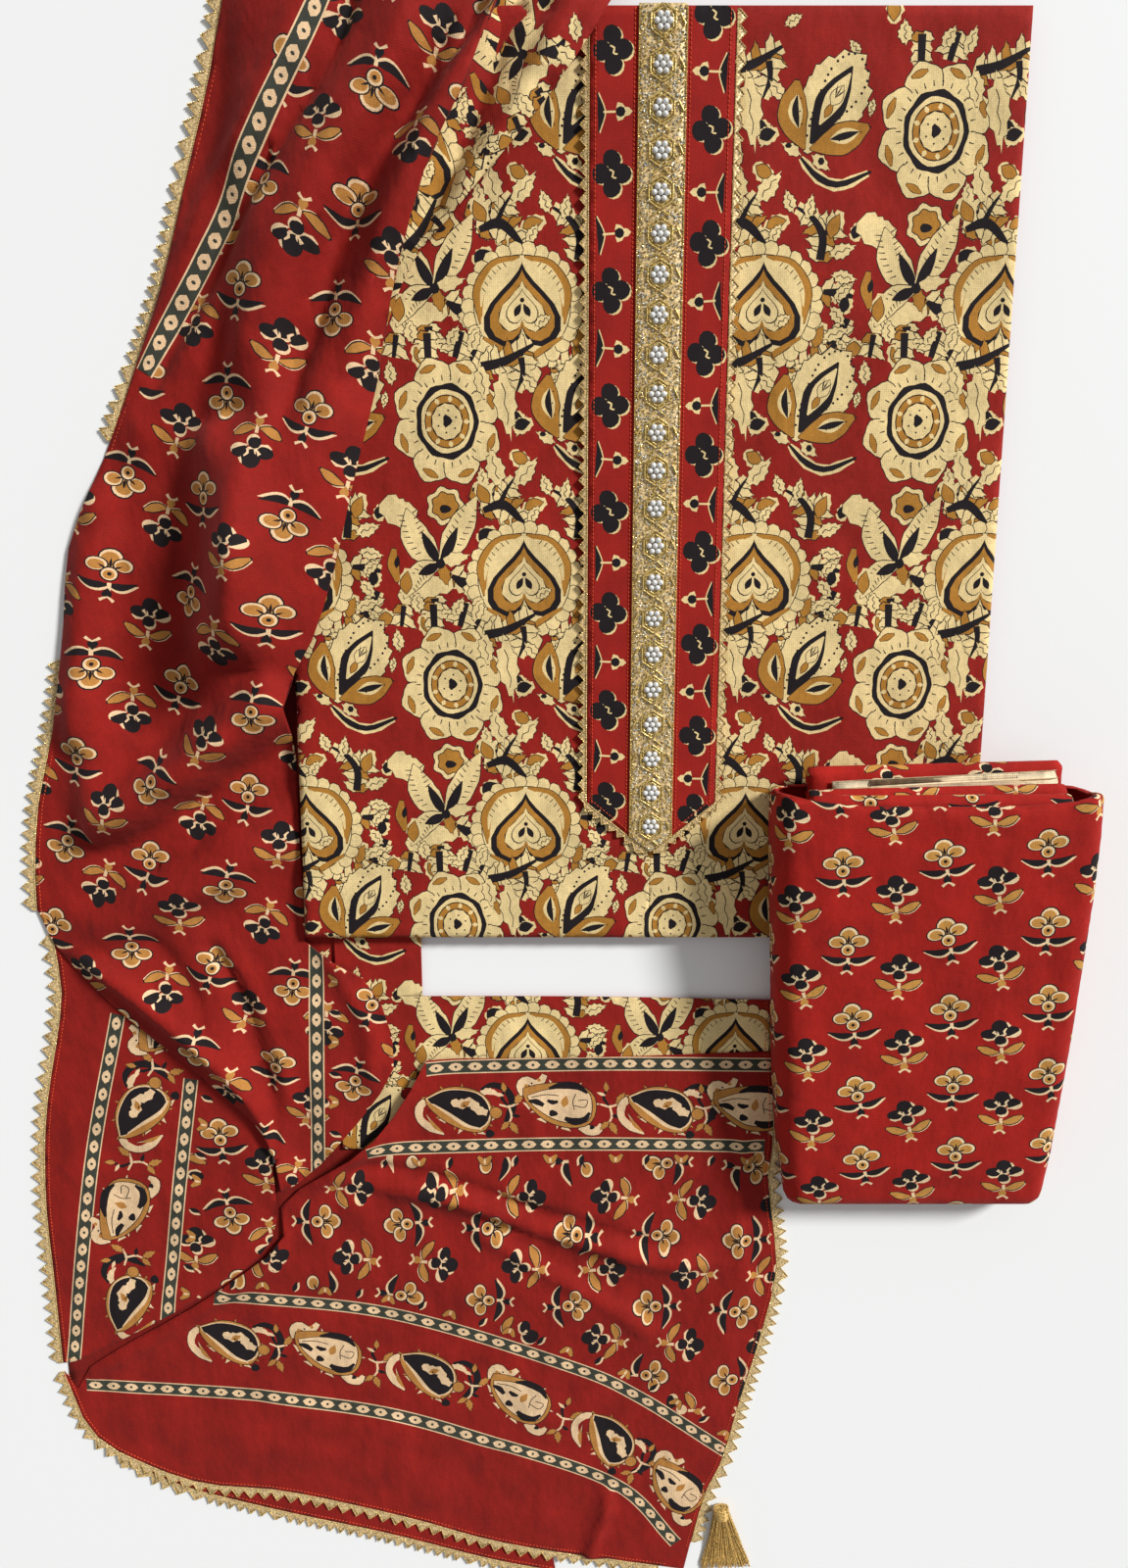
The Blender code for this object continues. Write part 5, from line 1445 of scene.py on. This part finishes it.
for name, paths, radius, sides, replaced in (("tasselStrands", strands, tasselLook["radius"], 4, ("tassel",)),
        ("tasselBinding", [neckWrap], tasselLook["bindingRadius"], 6, ())):
    piece = grown(name, pathMesh(name, paths), threadsGrow, radius=radius, sides=sides, material=tasselThread)
    sewnPieces.append((piece, "tassel_gold", replaced))
print("tassel made")

# Salwar bundle
bundle = {"step": 0.006, "thick": 0.0007, "sprigs": (68, 58, 6, 0.93, (-54, 6)), "leafSprigs": (68, 58),
          "leafSprigSize": 0.86, "selvedge": (228, 208, 172), "selvedgeStripe": (204, 176, 134), "mouthReach": 0.06,
          "mouthCorner": 0.0085, "mouthSag": 0.0045, "footRound": 0.0145, "lip": 0.0024, "corner": 0.015,
          "stations": [(-0.494, 0.112, 0.3055, 0.0, 0.036), (-0.46, 0.106, 0.3065, 0.0, 0.042),
                       (-0.41, 0.101, 0.3075, 0.0, 0.048), (-0.37, 0.098, 0.308, 0.005, 0.053),
                       (-0.315, 0.094, 0.308, 0.0146, 0.059), (-0.26, 0.091, 0.308, 0.0146, 0.065),
                       (-0.215, 0.089, 0.307, 0.0146, 0.0692), (-0.189, 0.089, 0.306, 0.0146, 0.0696)]}


def wrappedCloth(name, stations, corner, ends, shapes, inks, material, folds=(), turn=0.0):
    # Cloth wrapped round a flat bundle; ends: rounding at the foot, rounding at the top, whether the top is an open lip
    footRound, topRound, openTop = ends
    rows = np.array(stations)
    foot, top = rows[0, 0], rows[-1, 0]
    footRun = footRound * math.pi / 2
    topRun = topRound * (math.pi * 0.9 if openTop else math.pi / 2)

    def section(v):
        y = np.clip(v, foot, top)
        left, right, low, high = (np.interp(y, rows[:, 0], rows[:, k]) for k in range(1, 5))
        a = np.clip((foot - v) / max(footRound, 1e-6), 0, math.pi / 2)
        b = np.clip((v - top) / max(topRound, 1e-6), 0, math.pi if openTop else math.pi / 2)
        y = y - footRound * np.sin(a) + topRound * np.sin(b)
        wide, tall = (right - left) / 2, (high - low) / 2
        inset = footRound * 0.55 * (1 - np.cos(a)) + topRound * (1 - np.cos(b)) * (1 if openTop else 0.55)
        tall = tall * np.maximum(np.cos(a), 0.05) * (1 if openTop else np.maximum(np.cos(b), 0.05)) - (topRound
                * (1 - np.cos(b)) if openTop else 0)
        return y, (left + right) / 2, (low + high) / 2, wide - inset, tall

    def halfRound(wide, tall):
        r = np.minimum(tall, corner)
        return r, wide - r, r * math.pi / 2, 2 * (tall - r)

    def place(u, v, depth):
        y, midX, midZ, wide, tall = section(v)
        r, flat, quarter, side = halfRound(wide, tall)
        whole = 2 * flat + 2 * quarter + side
        wide, tall = wide - depth, np.maximum(tall - depth, 0.0002)
        r, flat, quarter, side = halfRound(wide, tall)
        t = np.abs(u) * (2 * flat + 2 * quarter + side) / whole
        a1 = np.clip((t - flat) / r, 0, math.pi / 2)
        a2 = np.clip((t - flat - quarter - side) / r, 0, math.pi / 2)
        down = np.clip(t - flat - quarter, 0, side)
        x = np.minimum(t, flat) + r * np.sin(a1) - r * (1 - np.cos(a2)) - np.maximum(t - flat - 2 * quarter - side, 0)
        z = tall - r * (1 - np.cos(a1)) - down - r * np.sin(a2)
        px, pz = midX + np.sign(u) * x, midZ + z
        if openTop:  # the mouth's rim sags between its corners
            reach = np.clip((y - top + bundle["mouthReach"]) / bundle["mouthReach"], 0, 1)
            atCorner = bundle["mouthCorner"] * np.clip(np.abs(px - midX) / np.maximum(wide, 1e-6), 0, 1) ** 4
            y = y + reach ** 2 * (atCorner - bundle["mouthSag"]) * np.clip(z / np.maximum(tall, 1e-6), 0, 1)
        if folds:
            pz = pz + foldShape(px, y, folds) * np.clip(z / np.maximum(tall, 1e-4), 0, 1)
        if turn:
            c, n = math.cos(math.radians(turn)), math.sin(math.radians(turn))
            mx, my = px.mean(), y.mean()
            px, y = mx + (px - mx) * c - (y - my) * n, my + (px - mx) * n + (y - my) * c
        return np.column_stack([px, y, pz])

    vs = np.linspace(foot - footRun, top + topRun, 60)
    _, _, _, wide, tall = section(vs)
    r, flat, quarter, side = halfRound(wide, tall)
    whole = 2 * flat + 2 * quarter + side - 0.0006
    outline = np.vstack([np.column_stack([whole, vs]), np.column_stack([-whole, vs])[::-1]])
    dense = denseLoop([tuple(q) for q in outline], 0.005)
    return printedCloth(name, dense, shapes, None, inks, material, bundle["step"], bundle["thick"], place)


wrapFolds = [([(110, -200), (125, -260), (120, -330)], 1.2, 10), ([(290, -200), (280, -300), (290, -400)], -1, 12),
             ([(130, -480), (200, -470), (270, -480)], 1, 10), ([(100, -205), (190, -201), (300, -205)], 1, 6),
             ([(150, -300), (230, -360), (270, -440)], -0.9, 16)]
wrapShapes = sprigRows((-0.32, -0.56, 0.32, -0.15), *bundle["sprigs"], nod=False)
wrap = wrappedCloth("salwarWrapCloth", bundle["stations"], bundle["corner"],
                    (bundle["footRound"], bundle["lip"], True), wrapShapes, salwarInks, salwarCloth, wrapFolds)
leaves = []
leafRows = [  # name, inks, left, right, end, underside, top, turn, turn of the print
    ("salwarBackLeafCloth", salwarInks, 0.114, 0.29, -0.17, 0.0215, 0.0335, 1.5, 180),
    ("salwarSelvedgeCloth", dict(salwarInks, ground=bundle["selvedge"]), 0.128, 0.286, -0.177, 0.0332, 0.0382, 3.0,
     None),
    ("salwarInnerLeafCloth", salwarInks, 0.112, 0.288, -0.183, 0.0381, 0.0485, 1.5, 0),
    ("salwarFrontLeafCloth", salwarInks, 0.11, 0.287, -0.1862, 0.0487, 0.06, 0.5, 0)]
for name, inks, left, right, end, under, over, turn, printTurn in leafRows:
    half = (over - under) / 2
    stations = [(end - 0.05, left, right, under, over), (end - half, left, right, under, over)]
    if printTurn is None:
        rows = [end * 1000 + d for d in (-5, -3.4, -1.8, 0.4, 2.0)]
        shapes = inMetres([("stripe", strip([(-150, row), (150, row)], (0.7,), 4)) for row in rows])
        inks = dict(inks, stripe=bundle["selvedgeStripe"])
    else:
        start = (20 - printTurn * 0.1, -4 + 30 * (over > 0.05))
        shapes = sprigRows((-0.3, end - 0.09, 0.3, end + 0.04), *bundle["leafSprigs"], printTurn + 3,
                           bundle["leafSprigSize"], start, False)
    leaves.append(wrappedCloth(name, stations, half, (0.0001, half, False), shapes, inks, salwarCloth, (), turn))
print("salwar bundle made")

# What each piece is, and what it rides on
pieces = [  # the piece, its slot and the nodes that it replaces
    (panelSheets[0], "kameez_print", ()), (panelSheets[1], "kameez_print", ()),
          (panelStack, "kameez_print", ("kameez_body",)),
    (sideCloth, "kameez_print", ("kameez_side",)), (tail, "kameez_print", ("kameez_tail",)),
    (gather, "kameez_print", ("kameez_gather",)), (placketSheet, "placket_print", ("yoke_panel",)),
    (fall, "dupatta_cotton", ("dupatta_fall",)), (corner, "dupatta_cotton", ("dupatta_corner",)),
    (spread, "dupatta_cotton", ("dupatta_spread",)), (underHem, "dupatta_cotton", ("dupatta_under_hem",)),
    (wrap, "salwar_cotton", ("salwar_wrap",)), (leaves[0], "salwar_cotton", ("salwar_back_leaf",)),
    (leaves[1], "selvedge_cream", ("salwar_selvedge",)), (leaves[2], "salwar_cotton", ("salwar_inner_leaf",)),
    (leaves[3], "salwar_cotton", ("salwar_front_leaf",)), (kameezTuck, "kameez_print", ()),
    (tucks[0], "dupatta_cotton", ()), (tucks[1], "dupatta_cotton", ())]
for piece, slot, replaced in pieces + sewnPieces:
    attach(piece, "root")
    if replaced:
        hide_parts(*replaced)
# What shows of each cloth, laid flat: piece, width, length, area where it isn't a rectangle, how it is held, what it
# lies on, what goes with it
clothCuts = [(panelSheets[0], 0.249, 0.604, None, "laid", [panelStack], [panelStack]),
             (panelSheets[1], 0.233, 0.604, None, "laid", [panelStack], []),
             (sideCloth, 0.064, 0.048, None, "folded", [fall], []), (tail, 0.322, 0.124, None, "laid", [], []),
             (gather, 0.186, 0.23, 0.018, "gathered", [panelSheets[0]], []),
             (kameezTuck, 0.077, 0.083, None, "laid", [], []), (fall, 0.36, 0.86, 0.172, "draped",
        [panelSheets[0], gather], []), (corner, 0.179, 0.361, 0.043, "folded", [], []),
             (spread, 0.568, 0.468, 0.178, "laid", [tail, underHem], []),
             (underHem, 0.355, 0.131, 0.0142, "folded", [], []), (tucks[0], 0.052, 0.4, 0.019, "folded", [], []),
             (tucks[1], 0.034, 0.36, None, "folded", [], []), (placketSheet, 0.09, 0.537, None, "laid", panelSheets,
        []), (laceNet, 0.03, 0.538, None, "laid", [placketSheet], []), (wrap, 0.5, 0.322, None, "folded", [], [])]
clothCuts += [(piece, 0.36, 0.055, None, "folded", [wrap], []) for piece in leaves]
for piece, width, length, area, held, restsOn, more in clothCuts:
    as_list(restsOn)
    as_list(more)
for shape in shapesToRemove:
    bpy.data.objects.remove(shape)
# Floor, light and camera
studio = {"cameraPlace": (-0.053, -0.022, 0.792), "cameraTilt": -12.0, "lens": 25.99, "floor": (244, 245, 244),
          "keyFrom": (0.78, 0.62, 0.62), "keyStrength": 3.95, "keySoftness": 11, "fill": 0.32}
floor = makeObject("studioFloor", [(-3, -3, -0.0004), (3, -3, -0.0004), (3, 3, -0.0004), (-3, 3, -0.0004)],
                   [(0, 1, 2, 3)])
floorMat, _, floorShader = newMaterial("paleFloor")
floorShader.inputs["Base Color"].default_value = linear(studio["floor"]) + (1,)
floorShader.inputs["Roughness"].default_value = 0.7
floor.data.materials.append(floorMat)
floor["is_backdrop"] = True
world = bpy.data.worlds.new("softStudio")
bpy.context.scene.world = world
world.use_nodes = True
world.node_tree.nodes["Background"].inputs["Color"].default_value = (1, 1, 1, 1)
world.node_tree.nodes["Background"].inputs["Strength"].default_value = studio["fill"]
keyLight = bpy.data.lights.new("keyLight", "SUN")
keyLight.energy, keyLight.angle = studio["keyStrength"], math.radians(studio["keySoftness"])
keyObject = bpy.data.objects.new("keyLight", keyLight)
keyObject.rotation_euler = (-Vector(studio["keyFrom"])).to_track_quat("-Z", "Y").to_euler()
bpy.context.scene.collection.objects.link(keyObject)
cameraData = bpy.data.cameras.new("photoCamera")
cameraData.lens, cameraData.sensor_width = studio["lens"], 36
camera = bpy.data.objects.new("photoCamera", cameraData)
camera.location = studio["cameraPlace"]
camera.rotation_euler = (math.radians(studio["cameraTilt"]), 0, 0)
bpy.context.scene.collection.objects.link(camera)
bpy.context.scene.camera = camera
bpy.context.scene.view_settings.view_transform = "Standard"


def plain(box):
    return [[float(v) for v in corner] for corner in box]


{"cad": plain(cadBox), "visual": plain(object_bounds())}
